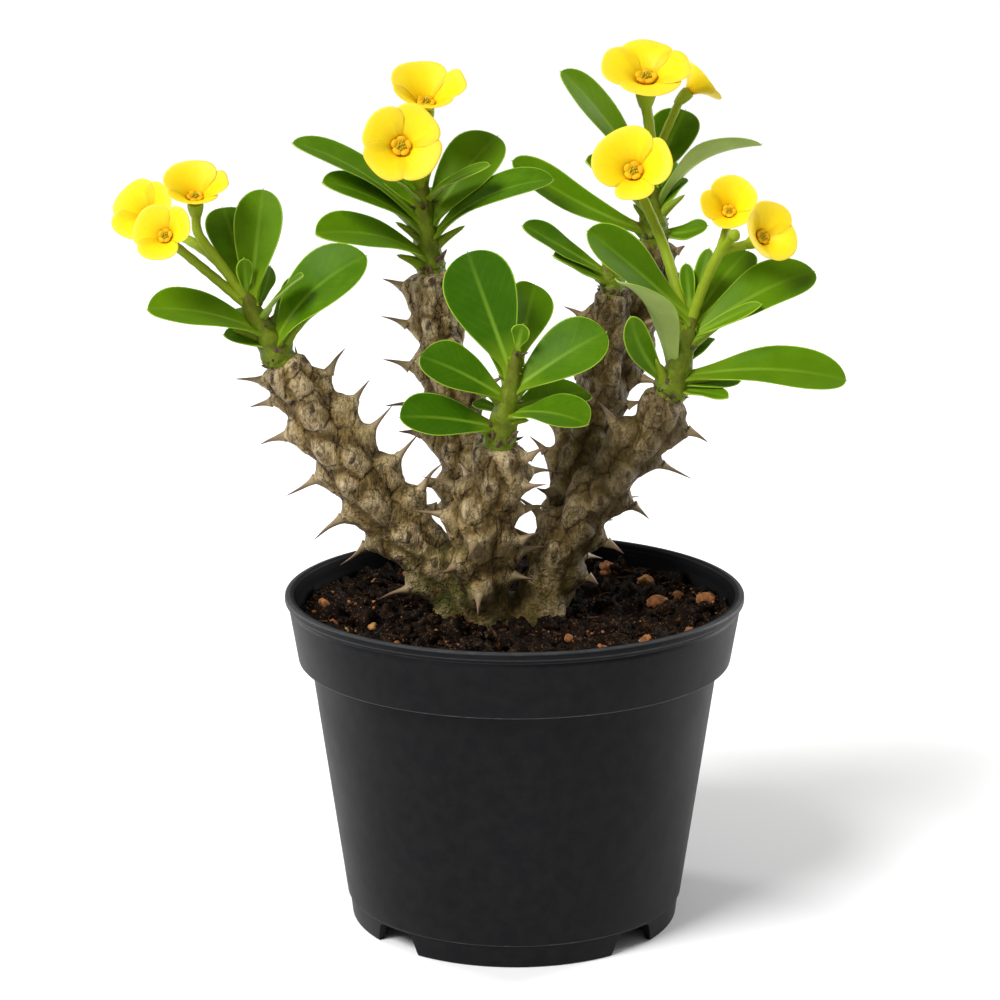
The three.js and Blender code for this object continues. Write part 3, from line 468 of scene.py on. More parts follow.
# %% Turning the pot
POT_SIDES = 288
LIP_RADIUS, POT_HEIGHT = 60, 88
BODY_TOP_RADIUS, COLLAR_FOOT = 53.5, 70.5
COLLAR_FOOT_RADIUS, COLLAR_TOP_RADIUS, COLLAR_TOP = 56.6, 58.9, 84.2
FOOT_RADIUS, FOOT_RING_TOP = 43.7, 6.4
WALL, COLLAR_WALL = 1.3, 1.6
FLOOR_BOTTOM, FLOOR_TOP = 3.8, 5.2
NOTCH_COUNT, NOTCH_WIDTH, NOTCH_HEIGHT, NOTCH_SLOPE, NOTCH_CORNER = 4, 15.5, 5.6, 1.4, 2


def body_radius(z):
    share = (z - FOOT_RING_TOP) / (COLLAR_FOOT - FOOT_RING_TOP)
    return FOOT_RADIUS + 0.6 + share * (BODY_TOP_RADIUS - FOOT_RADIUS - 0.6)


def inner_radius(z):
    if z <= COLLAR_FOOT - WALL:
        return body_radius(z) - WALL
    share = max((z - COLLAR_FOOT) / (COLLAR_TOP - COLLAR_FOOT), 0)
    return COLLAR_FOOT_RADIUS + share * (COLLAR_TOP_RADIUS - COLLAR_FOOT_RADIUS) - COLLAR_WALL


# Radius, height and rounding of each corner of the outline, from the foot's middle outwards,
# up the outside, over the lip and down the inside.
POT_OUTLINE = [
    (0, 0, 0), (9, 0, 0.4), (10.4, FLOOR_BOTTOM, 0.6), (41.0, FLOOR_BOTTOM, 0.5),
    (41.4, 0, 0.4), (43.2, 0, 0.6), (43.9, FOOT_RING_TOP - 0.4, 0.15),
    (body_radius(FOOT_RING_TOP) + 0.15, FOOT_RING_TOP - 0.1, 0.3),
    (BODY_TOP_RADIUS, COLLAR_FOOT, 0.3), (COLLAR_FOOT_RADIUS, COLLAR_FOOT - 0.2, 0.55),
    (COLLAR_TOP_RADIUS, COLLAR_TOP, 0.5), (COLLAR_TOP_RADIUS - 0.3, COLLAR_TOP + 0.9, 0.3),
    (LIP_RADIUS, 86.2, 0.6), (LIP_RADIUS, POT_HEIGHT, 0.95),
    (LIP_RADIUS - 2.4, POT_HEIGHT, 0.7), (inner_radius(COLLAR_TOP), COLLAR_TOP, 0.8),
    (inner_radius(COLLAR_FOOT + 1), COLLAR_FOOT + 1, 0.8),
    (inner_radius(COLLAR_FOOT - WALL), COLLAR_FOOT - WALL, 0.8),
    (inner_radius(FLOOR_TOP + 1), FLOOR_TOP + 1, 0.6), (inner_radius(FLOOR_TOP) - 1, FLOOR_TOP, 0.4),
    (9.1, FLOOR_TOP, 0.4), (7.7, 1.4, 0.4), (0, 1.4, 0),
]


def rounded(outline, steps=5):
    """The outline with each corner replaced by a short curve of a few points."""
    points = [np.array(outline[0][:2], float)]
    for (r0, z0, _), (r1, z1, rounding), (r2, z2, _) in zip(outline, outline[1:], outline[2:]):
        before, corner, after = (np.array(p, float) for p in ((r0, z0), (r1, z1), (r2, z2)))
        back, forth = before - corner, after - corner
        reach = min(rounding, 0.45 * np.linalg.norm(back), 0.45 * np.linalg.norm(forth))
        start, stop = corner + reach * unit(back), corner + reach * unit(forth)
        for t in np.linspace(0, 1, steps):
            points.append((1 - t)**2 * start + 2 * t * (1 - t) * corner + t**2 * stop)
    points.append(np.array(outline[-1][:2], float))
    return points


def with_steps(points, longest=6.0):
    """Splits the long straight stretches into steps no longer than longest."""
    result = [points[0]]
    for before, after in zip(points, points[1:]):
        count = max(int(np.linalg.norm(after - before) / longest), 1)
        result.extend(before + (after - before) * (i + 1) / count for i in range(count))
    return result


# Two faces that meet at a larger angle than this, in degrees, keep a sharp edge
SHARP_ANGLE = 32


def turned_pot():
    outline = with_steps(rounded(POT_OUTLINE))
    angles = all_round(POT_SIDES)
    rows = [np.array([r * np.cos(angles), r * np.sin(angles), np.full(POT_SIDES, z)]).T
            for r, z in outline[1:-1]]
    faces = ring_faces(len(rows), POT_SIDES)
    bottom, last = len(rows) * POT_SIDES, (len(rows) - 1) * POT_SIDES
    for i in range(POT_SIDES):
        after = (i + 1) % POT_SIDES
        faces += [(bottom, after, i), (bottom + 1, last + i, last + after)]
    ends = [[0, 0, outline[0][1]], [0, 0, outline[-1][1]]]
    surface = Surface()
    surface.add(np.vstack(rows + [ends]), faces)
    return surface


def notch_bar(angle):
    """A bar across the foot ring, with sloping sides and cut corners, for the Boolean."""
    half, shoulder = NOTCH_WIDTH / 2, NOTCH_WIDTH / 2 - NOTCH_SLOPE
    outline = [(-half, -1), (half, -1), (shoulder, NOTCH_HEIGHT - NOTCH_CORNER)]
    outline += [(shoulder - 0.6, NOTCH_HEIGHT - 0.6), (shoulder - NOTCH_CORNER, NOTCH_HEIGHT)]
    outline += [(-x, z) for x, z in outline[:1:-1]]
    count = len(outline)
    bar = Surface()
    bar.add([(x, y, z) for y in (-FOOT_RADIUS - 3, 9 - FOOT_RADIUS) for x, z in outline],
            [tuple(range(count)), tuple(reversed(range(count, 2 * count)))]
            + [((i + 1) % count, i, i + count, (i + 1) % count + count) for i in range(count)])
    mesh = bar.mesh("notch_bar")
    mesh.transform(Matrix.Rotation(angle, 4, "Z"))
    return placed_item("notch_bar", mesh)


def cut_notches(pot):
    bars = [notch_bar((i + 0.5) * 2 * math.pi / NOTCH_COUNT) for i in range(NOTCH_COUNT)]
    for bar in bars:
        cut = pot.modifiers.new("cut", "BOOLEAN")
        cut.operation, cut.object, cut.solver = "DIFFERENCE", bar, "EXACT"
    mesh = as_changed(pot)
    pot.modifiers.clear()
    old, pot.data = pot.data, mesh
    bpy.data.meshes.remove(old)
    mesh.name = "pot_shell"
    mesh.set_sharp_from_angle(angle=math.radians(SHARP_ANGLE))
    for bar in bars:
        bpy.data.meshes.remove(bar.data)


print("the pot's outline has", len(with_steps(rounded(POT_OUTLINE))), "points")

# %% The pot's plastic
# Levels of the edges that carry a thin painted highlight line, with half the width and strength of each
HIGHLIGHT_EDGES = [(POT_HEIGHT, 0.5, 0.5), (86.2, 0.25, 0.35), (COLLAR_TOP + 0.9, 0.2, 0.25),
         (COLLAR_FOOT - 0.1, 0.28, 0.9), (FOOT_RING_TOP - 0.2, 0.25, 0.6)]
# The radius of the collar's wall at level 0, if it went on down there, and how it leans outwards
WALL_RADIUS, WALL_LEAN = 43.9, 0.168


def pot_plastic():
    """Matt charcoal plastic: fine grain, faint flow marks, a little dust and dried splashes, with
    painted highlight lines along its edges and painted shade inside the collar.
    """
    made, tree = new_material("pot_plastic")
    clouds = placed(tree, BLOTCHES, 45, 0.1)
    dust = placed(tree, BLOTCHES, 260, 0.35, 3.0)
    grain = placed(tree, GRAIN, 5200, 0.35)
    base = layered(mixed(clouds, (0.0030, 0.0032, 0.0041), (0.0042, 0.0045, 0.0056)),
                   (times(dust, 0.06), (0.06, 0.056, 0.05)))
    parts = add_node(tree, "ShaderNodeSeparateXYZ", {0: object_place(tree)}).outputs
    level = times(parts["Z"], 1 / MM)
    # Painted highlight: a thin pale line along each of these edges, with a fainter band beside it.
    for edge, half, share in HIGHLIGHT_EDGES:
        away = worked("ABSOLUTE", minus(level, edge))
        edge_highlight = plus(ranged(away, half, half * 0.4, 0, share * 0.7),
                    ranged(plus(away, dust), half + 0.3, 0.3, 0, share * 0.3))
        base = mixed(edge_highlight, base, (0.085, 0.087, 0.092))
    # The inside of the collar gets painted shade, a darker colour, and it is duller.
    squared = plus(times(parts["X"], parts["X"]), times(parts["Y"], parts["Y"]))
    reach = minus(times(worked("POWER", squared, 0.5), 1 / MM), times(level, WALL_LEAN))
    inside = times(ranged(reach, WALL_RADIUS + 0.3, WALL_RADIUS - 0.3),
                   ranged(level, COLLAR_FOOT + 0.5, COLLAR_FOOT + 1.5))
    base = mixed(times(inside, 0.85), base, (0.0012, 0.0013, 0.0016))
    return finished(made, base, ranged(clouds, 0, 1, 0.42, 0.52), grain, (0.16, 0.25),
                    ranged(inside, 0, 1, 0.11, 0.045))


pot = make_piece("pot_shell", turned_pot(), [pot_plastic()], ["pot"])
cut_notches(pot)
print("the pot with its notches has", len(pot.data.polygons), "faces")

# %% [markdown]
# ## The soil
# Potting soil is peat and bark: dark clods of every size, with fine crumbs between them and a
# few bits of fired clay. A relief alone looks like rock, and loose crumbs alone leave holes, so
# both are used: one rough disc fills the pot, and many small seeded clods lie on and in it.

# %% The ground
SOIL_LEVEL = 79.5
COLLAR_CENTRE = np.array([-1.6, 7.5])
COLLAR_HALF = np.array([19.2, 14.2])
SOIL_STEP = 0.62
GROUND_SIDES = 480
POT_FLOOR_GAP = 5.6


def soil_swell(x, y):
    swell = np.sin(x * 0.21 + 1) * np.cos(y * 0.17 + 2) + 0.6 * np.sin(x * 0.43 - y * 0.39)
    return SOIL_LEVEL + 0.63 * swell


def ground_height(x, y):
    """The swell of the ground with clods on it, and a low bank against the pot's far wall."""
    points = np.stack([x, y, np.zeros_like(x)], axis=1)
    clods = np.abs(wave_noise(points, 8.5, 1.0, 2)) * 4.2
    lumps = np.abs(wave_noise(points, 3.3, 2.0, 2)) * 2.0
    crumbs = wave_noise(points, 1.1, 3.0, 2) * 0.4
    reach = np.hypot(x, y) / 56
    return soil_swell(x, y) - 2.3 + clods + lumps + crumbs + (3.2 + 1.2 * y / 56) * reach**5


def level_of(x, y):
    return ground_height(np.array([x]), np.array([y]))[0]


def soil_ground():
    """The rough disc from the middle outwards, and a plain body below it down to the floor."""
    outside = inner_radius(SOIL_LEVEL) - 0.15
    rings = np.concatenate([np.arange(1.5, outside - 0.4, SOIL_STEP), [outside - 0.3, outside]])
    sides = GROUND_SIDES
    angles = all_round(sides)
    x = (rings[:, None] * np.cos(angles)).ravel()
    y = (rings[:, None] * np.sin(angles)).ravel()
    top = np.stack([x, y, ground_height(x, y)], axis=1)
    levels = [SOIL_LEVEL - 3, COLLAR_FOOT + 0.5, COLLAR_FOOT - 1.8, 30, 8]
    below = [(inner_radius(z) - 0.5, z) for z in levels]
    below += [(inner_radius(6) - 2, POT_FLOOR_GAP), (10, POT_FLOOR_GAP)]
    skirt = [np.array([r * np.cos(angles), r * np.sin(angles), np.full(sides, z)]).T
             for r, z in below]
    hub, foot = len(top), len(top) + 1 + len(below) * sides
    faces = ring_faces(len(rings), sides) + [(hub, i, (i + 1) % sides) for i in range(sides)]
    rim, start, low = hub - sides, hub + 1, foot - sides
    for i in range(sides):
        after = (i + 1) % sides
        faces += [(rim + i, start + i, start + after, rim + after), (low + i, foot, low + after)]
        faces += [(a + i, a + i + sides, a + after + sides, a + after)
                  for a in range(start, low, sides)]
    surface = Surface()
    surface.add(np.vstack([top, [[0, 0, SOIL_LEVEL - 2]], *skirt, [[0, 0, POT_FLOOR_GAP]]]), faces)
    return surface


print("the ground lies", round(level_of(30, -20), 1), "mm high on the right in front")

# %% Clods and bits of clay
def ball(level):
    """The points and faces of a ball, from Blender's own icosphere."""
    shape = bmesh.new()
    bmesh.ops.create_icosphere(shape, subdivisions=level, radius=1)
    shape.verts.ensure_lookup_table()
    points = np.array([v.co[:] for v in shape.verts])
    faces = [tuple(v.index for v in face.verts) for face in shape.faces]
    shape.free()
    return points, faces


BALLS = {level: ball(level) for level in (1, 2, 3)}


def add_clod(surface, x, y, size, key, level, sink=0.35, rough=0.5, **values):
    """An angular lump, turned and stretched at random, partly sunk in the ground."""
    points, faces = BALLS[level]
    turn = Matrix.Rotation(6.3 * spread(key + 0.1), 3, Vector((spread(key + 0.2) - 0.5,
                           spread(key + 0.3) - 0.5, spread(key + 0.4) + 0.2)).normalized())
    stretch = np.array([0.8 + 0.6 * spread(key + 0.5), 0.7 + 0.4 * spread(key + 0.6),
                        0.6 + 0.35 * spread(key + 0.7)])
    bumps = 1 + rough * wave_noise(points, 0.75, key % 97, 4)
    shaped = (points * bumps[:, None] * stretch * size) @ np.array(turn).T
    place = np.array([x, y, level_of(x, y) + size * stretch[2] * (1 - 2 * sink)])
    surface.add(shaped + place, faces, tone=spread(key + 0.8), **values)


def free_of_wood(x, y, margin):
    away = (np.array([x, y]) - COLLAR_CENTRE) / (COLLAR_HALF + margin)
    return np.hypot(*away) > 1


def scattered(count, key, margin, edge):
    """Seeded places on the ground, spread evenly and clear of the stem."""
    places = []
    while len(places) < count:
        key += 1
        angle, reach = 2 * math.pi * spread(key), edge * math.sqrt(spread(key + 0.5))
        x, y = reach * math.cos(angle), reach * math.sin(angle)
        if free_of_wood(x, y, margin):
            places.append((x, y, key))
    return places


def soil_clods():
    surface = Surface()
    for x, y, key in scattered(1200, 5000, -4.5, 55.4):
        add_clod(surface, x, y, 0.45 + 0.85 * spread(key + 0.9)**2, key, 2)
    for x, y, key in scattered(220, 9000, -3, 53):
        add_clod(surface, x, y, 1.4 + 2.6 * spread(key + 0.9)**2, key, 3, 0.42)
    return surface


# The clay bits that stand out in the photograph, as place and size, then seeded small ones.
CLAY_BITS = [(33, -23, 2.7), (38, 12, 2.6), (51, 10, 2.3), (26, 42, 2.4), (-38, 33, 1.9),
             (-20, -43, 1.6), (13, -47, 1.7), (45, -17, 1.5), (29, -40, 1.3), (-47, -8, 1.4),
             (36, 30, 2.2), (44, 22, 1.8), (-50, 6, 1.6), (4, -36, 1.5), (-30, 40, 1.7),
             (-33, -36, 1.2), (-24, -34, 1.0), (-8, -48, 1.3), (-14, -50, 1.0), (3, -50, 1.1),
             (22, -46, 1.4), (17, -40, 1.0), (-43, -24, 1.1), (-37, -6, 1.3), (-30, -22, 1.0)]
CLAY_ROUGHNESS = 0.26


def clay_bits():
    surface = Surface()
    for number, (x, y, size) in enumerate(CLAY_BITS):
        add_clod(surface, x, y, size, 300 + number, 3, 0.2, CLAY_ROUGHNESS)
    for x, y, key in scattered(60, 12000, 1, 54):
        add_clod(surface, x, y, 0.45 + 0.9 * spread(key + 0.9)**2, key, 2, 0.25, CLAY_ROUGHNESS)
    for x, y, key in scattered(340, 21000, 0, 54.6):
        add_clod(surface, x, y, 0.24 + 0.4 * spread(key + 0.9)**2, key, 1, 0.1)
    return surface


def bark_shreds():
    """Short shreds of bark and root, lying on the clods at every angle."""
    surface = Surface()
    for x, y, key in scattered(240, 15000, 1, 54):
        turn, rise = 6.3 * spread(key + 0.2), 0.5 * (spread(key + 0.3) - 0.3)
        reach = 0.8 + 2.4 * spread(key + 0.4)**2
        along = np.array([math.cos(turn), math.sin(turn), rise]) * reach
        middle = np.array([x, y, level_of(x, y) + 0.35])
        bend = np.array([-along[1], along[0], 0.6]) * 0.25 * (spread(key + 0.5) - 0.5)
        thick = 0.14 + 0.26 * spread(key + 0.6)

        def radius(t, angles):
            return thick * (1 + 0.5 * np.cos(angles)**2) * (0.45 + math.sin(math.pi * t)**0.5 * 0.6)

        add_tube(surface, Course([middle - along, middle + bend, middle + along]),
                 np.linspace(0, 1, 7), 6, radius, tone=spread(key + 0.8))
    return surface


print("the balls have", [len(faces) for _, faces in BALLS.values()], "faces")

# %% The soil's finishes
def peat(name, dark, warm, pale):
    """Dark damp peat: every clod has a tone of its own, fine fibres lighten its bumps, and small pale
    specks are partly grit and partly painted glints.
    """
    made, tree = new_material(name)
    clouds = placed(tree, BLOTCHES, 420, 0.4)
    clumps = placed(tree, BLOTCHES, 150, 0.7, 3.0)
    crumbs = placed(tree, GRAIN, 2600, 0.5)
    flecks = placed(tree, SPECKS, 900, 0.2)
    tone, = point_values(tree, "tone")
    base = layered(
        mixed(clouds, dark, warm),
        (ranged(tone, 0.55, 1.0), warm),
        (times(clumps, 0.7), dark),
        (ranged(crumbs, 0.56, 0.68, 0, 0.9), pale),
        (ranged(crumbs, 0.5, 0.36, 0, 0.8), (0.0015, 0.001, 0.0008)),
        # Small pale specks: partly grit, partly painted glints.
        (times(flecks, 0.3), (0.30, 0.19, 0.10)))
    return finished(made, base, ranged(crumbs, 0.3, 0.7, 0.9, 0.5), crumbs, (1.0, 0.8), 0.07)


def fired_clay():
    made, tree = new_material("fired_clay")
    clouds = placed(tree, BLOTCHES, 700, 0.3)
    crumbs = placed(tree, GRAIN, 4200, 0.4)
    tone, = point_values(tree, "tone")
    base = layered(
        mixed(clouds, (0.14, 0.045, 0.010), (0.47, 0.165, 0.035)),
        (ranged(tone, 0.65, 1.0, 0, 0.7), (0.60, 0.31, 0.08)),
        (ranged(crumbs, 0.55, 0.35, 0, 0.8), (0.045, 0.018, 0.007)))
    return finished(made, base, ranged(crumbs, 0.3, 0.7, 0.9, 0.75), crumbs, (0.7, 0.3))


dark_peat = peat("dark_peat", (0.0022, 0.0012, 0.0007), (0.014, 0.0055, 0.0019), (0.13, 0.06, 0.02))
shred_brown = peat("shred_brown", (0.03, 0.014, 0.006), (0.085, 0.042, 0.018), (0.19, 0.105, 0.05))
make_piece("soil_ground", soil_ground(), [dark_peat], ["soil"])
make_piece("soil_clods", soil_clods(), [dark_peat])
make_piece("clay_bits", clay_bits(), [fired_clay()])
make_piece("bark_shreds", bark_shreds(), [shred_brown])

# %% [markdown]
# ## The wood
# Five branches and a fork grow out of one root collar. A euphorbia's branch is covered with
# podaria: oval cushions in slanting rows, each the foot of a fallen leaf, with deep creases
# between them. Sculpting them by hand would take days, and a displacement texture would lose the
# rows. So each branch is a tube whose radius is worked out point by point: a core, and on it
# the highest of the cushions near that point. A voxel remesh then melts the tubes and the root
# collar into one skin, and a little smoothing fills the forks as bark does.

# %% The course and radius of each branch
# A branch's course in mm, and its radius at even shares of it
BRANCHES = {
    "left": (
        [(-7, 7, 77), (-16, 5.5, 88), (-26, 4, 100), (-36, 2, 112.5), (-44, 1, 124),
         (-52, -0.5, 136.5), (-60, -2, 149.5)],
        [8, 7.8, 6.9, 6.5, 6.4, 5.8, 4.5]),
    "middleLeft": (
        [(-7, 11, 77), (-10, 15, 90), (-12, 19, 105), (-14, 21, 121), (-17.5, 23, 139),
         (-21, 24.5, 155), (-22, 25, 168.5)],
        [7, 7, 6, 5.8, 5.6, 4.9, 4.2]),
    "centre": (
        [(-5, 3, 76), (-8, 1, 87), (-8.6, -3, 99), (-7.7, -5, 110), (-5.5, -7, 120),
         (-4, -9, 129.5)],
        [6.6, 6.7, 6.5, 6.7, 5.8, 4.9]),
    "side": (
        [(5.5, 9, 77), (10.5, 11, 88), (13.5, 14.5, 101), (16.5, 17.5, 117), (20.5, 20, 130),
         (24, 20, 147), (25.6, 19, 164)],
        [6.6, 6.7, 6.2, 5.4, 5, 4.4, 3.7]),
    "backRight": (
        [(19, 19, 122), (26, 25, 139), (32.5, 29, 153), (36.5, 31, 165), (37, 31, 176)],
        [5.4, 5.4, 5, 4.4, 3.8]),
    "right": (
        [(3, 5, 77), (8.2, 4, 88), (13.8, 2, 101), (21.8, 0, 113.5), (29.5, -2, 124.5),
         (35.5, -3.5, 132.5), (39.5, -4, 141)],
        [6, 6.5, 6.4, 6, 5.6, 5.2, 4.4]),
}
COURSES = {name: Course(points) for name, (points, _) in BRANCHES.items()}
RADII = {name: radii for name, (_, radii) in BRANCHES.items()}

# The spines that the photograph shows clearly: share of the branch's length, degrees round it
# (0 towards the viewer, 90 to the right), lean towards the branch's tip, and length.
SEEN_SPINES = {
    "left": [(0.98, -90, 0.7, 7.5), (0.91, -90, 0.3, 6.5), (0.8, -92, 0.24, 7.8),
        (0.65, -90, 0.05, 9.8), (0.52, -80, 0, 10), (0.41, -92, -0.05, 10), (0.25, -60, 0.5, 9.6),
        (0.12, -52, 0.5, 8.2), (0.9, 88, 0.48, 8.6), (0.79, 92, 0.4, 7.4), (0.69, 90, 0.3, 8.9),
        (0.57, 92, 0.27, 9.6), (0.45, 90, 0.25, 10)],
    "centre": [(0.22, -88, -0.07, 9.8), (0.6, -90, 0, 10.2), (0.74, -86, 0.1, 9), (0.97, 74, 0.9, 6.9),
        (0.86, 104, 0, 7.8), (0.84, 62, 0.5, 6.4), (0.69, 92, 0.28, 8.8), (0.53, 76, 0.7, 6.2),
        (0.43, 96, 0.15, 7.6), (0.34, 66, 0.07, 6), (0.54, -12, -0.2, 7.6), (0.3, -4, -0.3, 7),
        (0.42, -46, 0.1, 6.4)],
    "right": [(0.39, -92, 0.12, 9.6), (0.91, 88, -0.08, 6.8), (0.78, 92, 0.16, 9.6),
        (0.59, 88, -0.17, 6.4), (0.43, 76, 0, 6), (0.26, 74, -0.26, 4), (0.12, 42, -0.1, 4.6),
        (0.81, -84, 0.3, 8.2)],
    "side": [(0.49, -90, 0.54, 6.6), (0.81, -66, 1, 5.8), (0.92, -90, 0.45, 6.2), (0.68, 90, 0.6, 4.8)],
    "middleLeft": [(0.96, -92, 0.42, 6.2), (0.86, -88, 0.5, 7.8), (0.75, -92, 0.55, 8),
        (0.64, -88, 0.1, 9.6), (0.4, -76, -0.1, 6.5), (0.65, 88, 0.3, 7.4), (0.97, 84, 0.85, 7)],
    "backRight": [(0.95, 74, 0.8, 3.4), (0.84, 88, 0, 4.2)],
}
# Cushions that face the viewer without a spine: share of the branch's length, degrees round it
SEEN_CUSHIONS = {
    "left": [(0.84, 2), (0.66, 22), (0.53, -2), (0.38, 10), (0.73, -26), (0.93, 22)],
    "centre": [(0.82, -6), (0.68, -38)],
    "right": [(0.84, 8), (0.69, 10), (0.57, 0), (0.44, 14), (0.32, -20)],
    "middleLeft": [(0.96, 0), (0.85, -18)],
}
# Rows of cushions along a branch, their distance in mm, and their twist in radians a mm
FILES, PITCH, FILE_TWIST = 6, 12.0, 0.011
# The height of a cushion, the least distance of two, and the lowest level of one, in mm
CUSHION_HEIGHT, NEAREST_CUSHIONS, LOWEST_CUSHION = 1.9, 7.0, 82
CROWN_CUSHIONS = 5
# The lean of the other spines at the foot and the tip of a branch, and their lowest level in mm
SPINE_LEANS, LOWEST_SPINE = [-0.2, 0.55], 96
# The share of the other cushions that have a spine, and how much of it is left in front
SPINED_SHARE, SHARE_IN_FRONT = 0.5, 0.35
# A branch with this mean radius in mm, or a greater one, has cushions of full size
FULL_RADIUS = 6.5


def cushion_scale(name):
    """Slender branches have smaller cushions."""
    return min(1, sum(RADII[name]) / len(RADII[name]) / FULL_RADIUS)


def angle_between(a, b):
    return np.abs((a - b + math.pi) % (2 * math.pi) - math.pi)


def branch_cushions(name, order):
    """Every cushion of a branch: its way along, its angle, and its spine's lean and length."""
    course = COURSES[name]
    seen = SEEN_SPINES.get(name, []) + [(t, a, 0, 0) for t, a in SEEN_CUSHIONS.get(name, [])]
    found = [(t * course.length, math.radians(a), lean, long) for t, a, lean, long in seen]
    scale = cushion_scale(name)
    rings = round(course.length / (scale * PITCH / 2))
    for ring in range(1, rings):
        for file in range(ring % 2, FILES, 2):
            key = order * 1000 + ring * 31 + file * 7
            way = (ring + 0.3 * (spread(key + 3) - 0.5)) * course.length / rings
            angle = 2 * math.pi * file / FILES + FILE_TWIST * way + 0.16 * (spread(key + 4) - 0.5)
            t = way / course.length
            radius, level = blended(RADII[name], t), course.at(t)[2]
            near = min([math.hypot(way - w, radius * 1.25 * angle_between(angle, a))
                        for w, a, _, _ in found] or [99])
            if near < NEAREST_CUSHIONS * scale or level < LOWEST_CUSHION:
                continue
            lean = blended(SPINE_LEANS, t) + 0.4 * (spread(key + 1) - 0.5)
            in_front = angle_between(angle, 0) < 1.1
            spined = (spread(key) < SPINED_SHARE * (SHARE_IN_FRONT if in_front else 1)
                      and level > LOWEST_SPINE)
            found.append((way, angle, lean, (6.2 + 3 * spread(key + 2)) if spined else 0))
    for number in range(CROWN_CUSHIONS):
        angle = 2 * math.pi * (number + 0.5 * spread(order + number)) / CROWN_CUSHIONS
        found.append((course.length - 2.2 - 0.8 * spread(order * 7 + number), angle, 0.8, 0))
    return found


CUSHIONS = {name: branch_cushions(name, i + 1) for i, name in enumerate(BRANCHES)}
print("cushions on each branch:", {name: len(found) for name, found in CUSHIONS.items()})

# %% The tubes with their cushions
# The step along a branch in mm, its sides, and the size of the skin's faces in mm
BRANCH_STEP, BRANCH_SIDES, VOXEL = 0.45, 104, 0.56
# How far a cushion reaches down and up its branch, and how long a branch's round end is, in mm
REACH_DOWN, REACH_UP, ROUND_END = 9.4, 4.4, 2.4


def relief(name, t, angles):
    """The radius all round the branch at share t."""
    course, scale = COURSES[name], cushion_scale(name)
    way = t * course.length
    short = max(1 - (course.length - way) / ROUND_END, 0)
    young = ramp(course.at(t)[2], 84, 114)
    core = blended(RADII[name], t) * math.sqrt(max(1 - 0.8 * short**2, 0.05))
    core *= 0.88 + 0.08 * young
    height = np.zeros_like(angles)
    nearest, second = np.full_like(angles, 9), np.full_like(angles, 9)
    around = np.stack([4.2 * np.cos(angles), 4.2 * np.sin(angles),
                       np.full_like(angles, way / 4.5)], axis=1)
    ribs = 0.22 * wave_noise(around, 1.1, 31.0, 3)
    for number, (at, angle, _, long) in enumerate(CUSHIONS[name]):
        size = 0.68 + 0.55 * spread(number * 3.3 + at) + (0.15 if long else 0)
        slant = 0.35 * (spread(number * 5.1 + at) - 0.5) * core * angle_between(angles, angle)
        along = (way - at + slant) / ((REACH_DOWN if way < at else REACH_UP) * size * scale)
        round_it = core * angle_between(angles, angle) / ((0.62 * core + 0.5) * size)
        far = along**2 + round_it**2
        dome = np.clip(1 - far, 0, 1)**1.25 * CUSHION_HEIGHT * (1.3 if long else 1.05) * size
        ring = 0.12 * np.sin(15 * np.sqrt(far)) * np.clip(1 - far, 0, 1)
        horn = (2.0 if long else 0.3) * np.exp(-far / (0.075 if long else 0.05))
        dome *= 1 if long else 0.5 + 0.5 * young
        grown = np.maximum(dome + horn + ring, 0) * min(core / 4.9, 1)
        height = (height**6 + grown**6)**(1 / 6)
        second = np.minimum(np.maximum(nearest, far), second)
        nearest = np.minimum(nearest, far)
    seam = 0.12 * np.exp(-((np.sqrt(second) - np.sqrt(nearest)) / 0.12)**2)
    lumps = 0.16 * np.sin(3 * angles + way * 0.7) * np.sin(way * 0.31 + 2 * angles)
    ribs *= 1 - 0.35 * height / CUSHION_HEIGHT
    return core + 0.25 + height + lumps + ribs - seam * (way > 4)


def add_branch(surface, name):
    course = COURSES[name]
    shares = np.linspace(0, 1, round(course.length / BRANCH_STEP) + 1)
    add_tube(surface, course, shares, BRANCH_SIDES, lambda t, angles: relief(name, t, angles))


# Level and share of the full width of each ring of the root collar
COLLAR_RINGS = [(58, 0.66), (66, 0.78), (73, 0.9), (77, 0.92), (79.5, 0.86), (82, 0.68),
                (84, 0.42), (85, 0.15)]
COLLAR_SIDES, COLLAR_SHRINK = 64, 0.82


def add_root_collar(surface):
    """The swollen foot of the plant, from inside the soil to just above it."""
    angles = all_round(COLLAR_SIDES)
    rows = []
    for z, share in COLLAR_RINGS:
        wobble = 1 + 0.05 * np.sin(5 * angles + z * 0.3) + 0.03 * np.sin(9 * angles)
        x = COLLAR_CENTRE[0] + COLLAR_HALF[0] * share * wobble * np.cos(angles) * COLLAR_SHRINK
        y = COLLAR_CENTRE[1] + COLLAR_HALF[1] * share * wobble * np.sin(angles) * COLLAR_SHRINK
        rows.append(np.stack([x, y, np.full_like(x, z)], axis=1))
    surface.add(np.vstack(rows), tube_faces(len(rows), COLLAR_SIDES))


def remeshed(surface, size):
    """Melts overlapping closed surfaces into one skin of even small faces."""
    rough = placed_item("rough", surface.mesh("rough"))
    melt = rough.modifiers.new("melt", "REMESH")
    melt.mode, melt.voxel_size, melt.adaptivity = "VOXEL", size * MM, 0.0
    skin = as_changed(rough)
    points = np.empty(len(skin.vertices) * 3)
    skin.vertices.foreach_get("co", points)
    faces = [tuple(face.vertices) for face in skin.polygons]
    edges = np.empty(len(skin.edges) * 2, int)
    skin.edges.foreach_get("vertices", edges)
    bpy.data.meshes.remove(skin)
    bpy.data.meshes.remove(rough.data)
    return points.reshape(-1, 3) / MM, faces, edges.reshape(-1, 2)


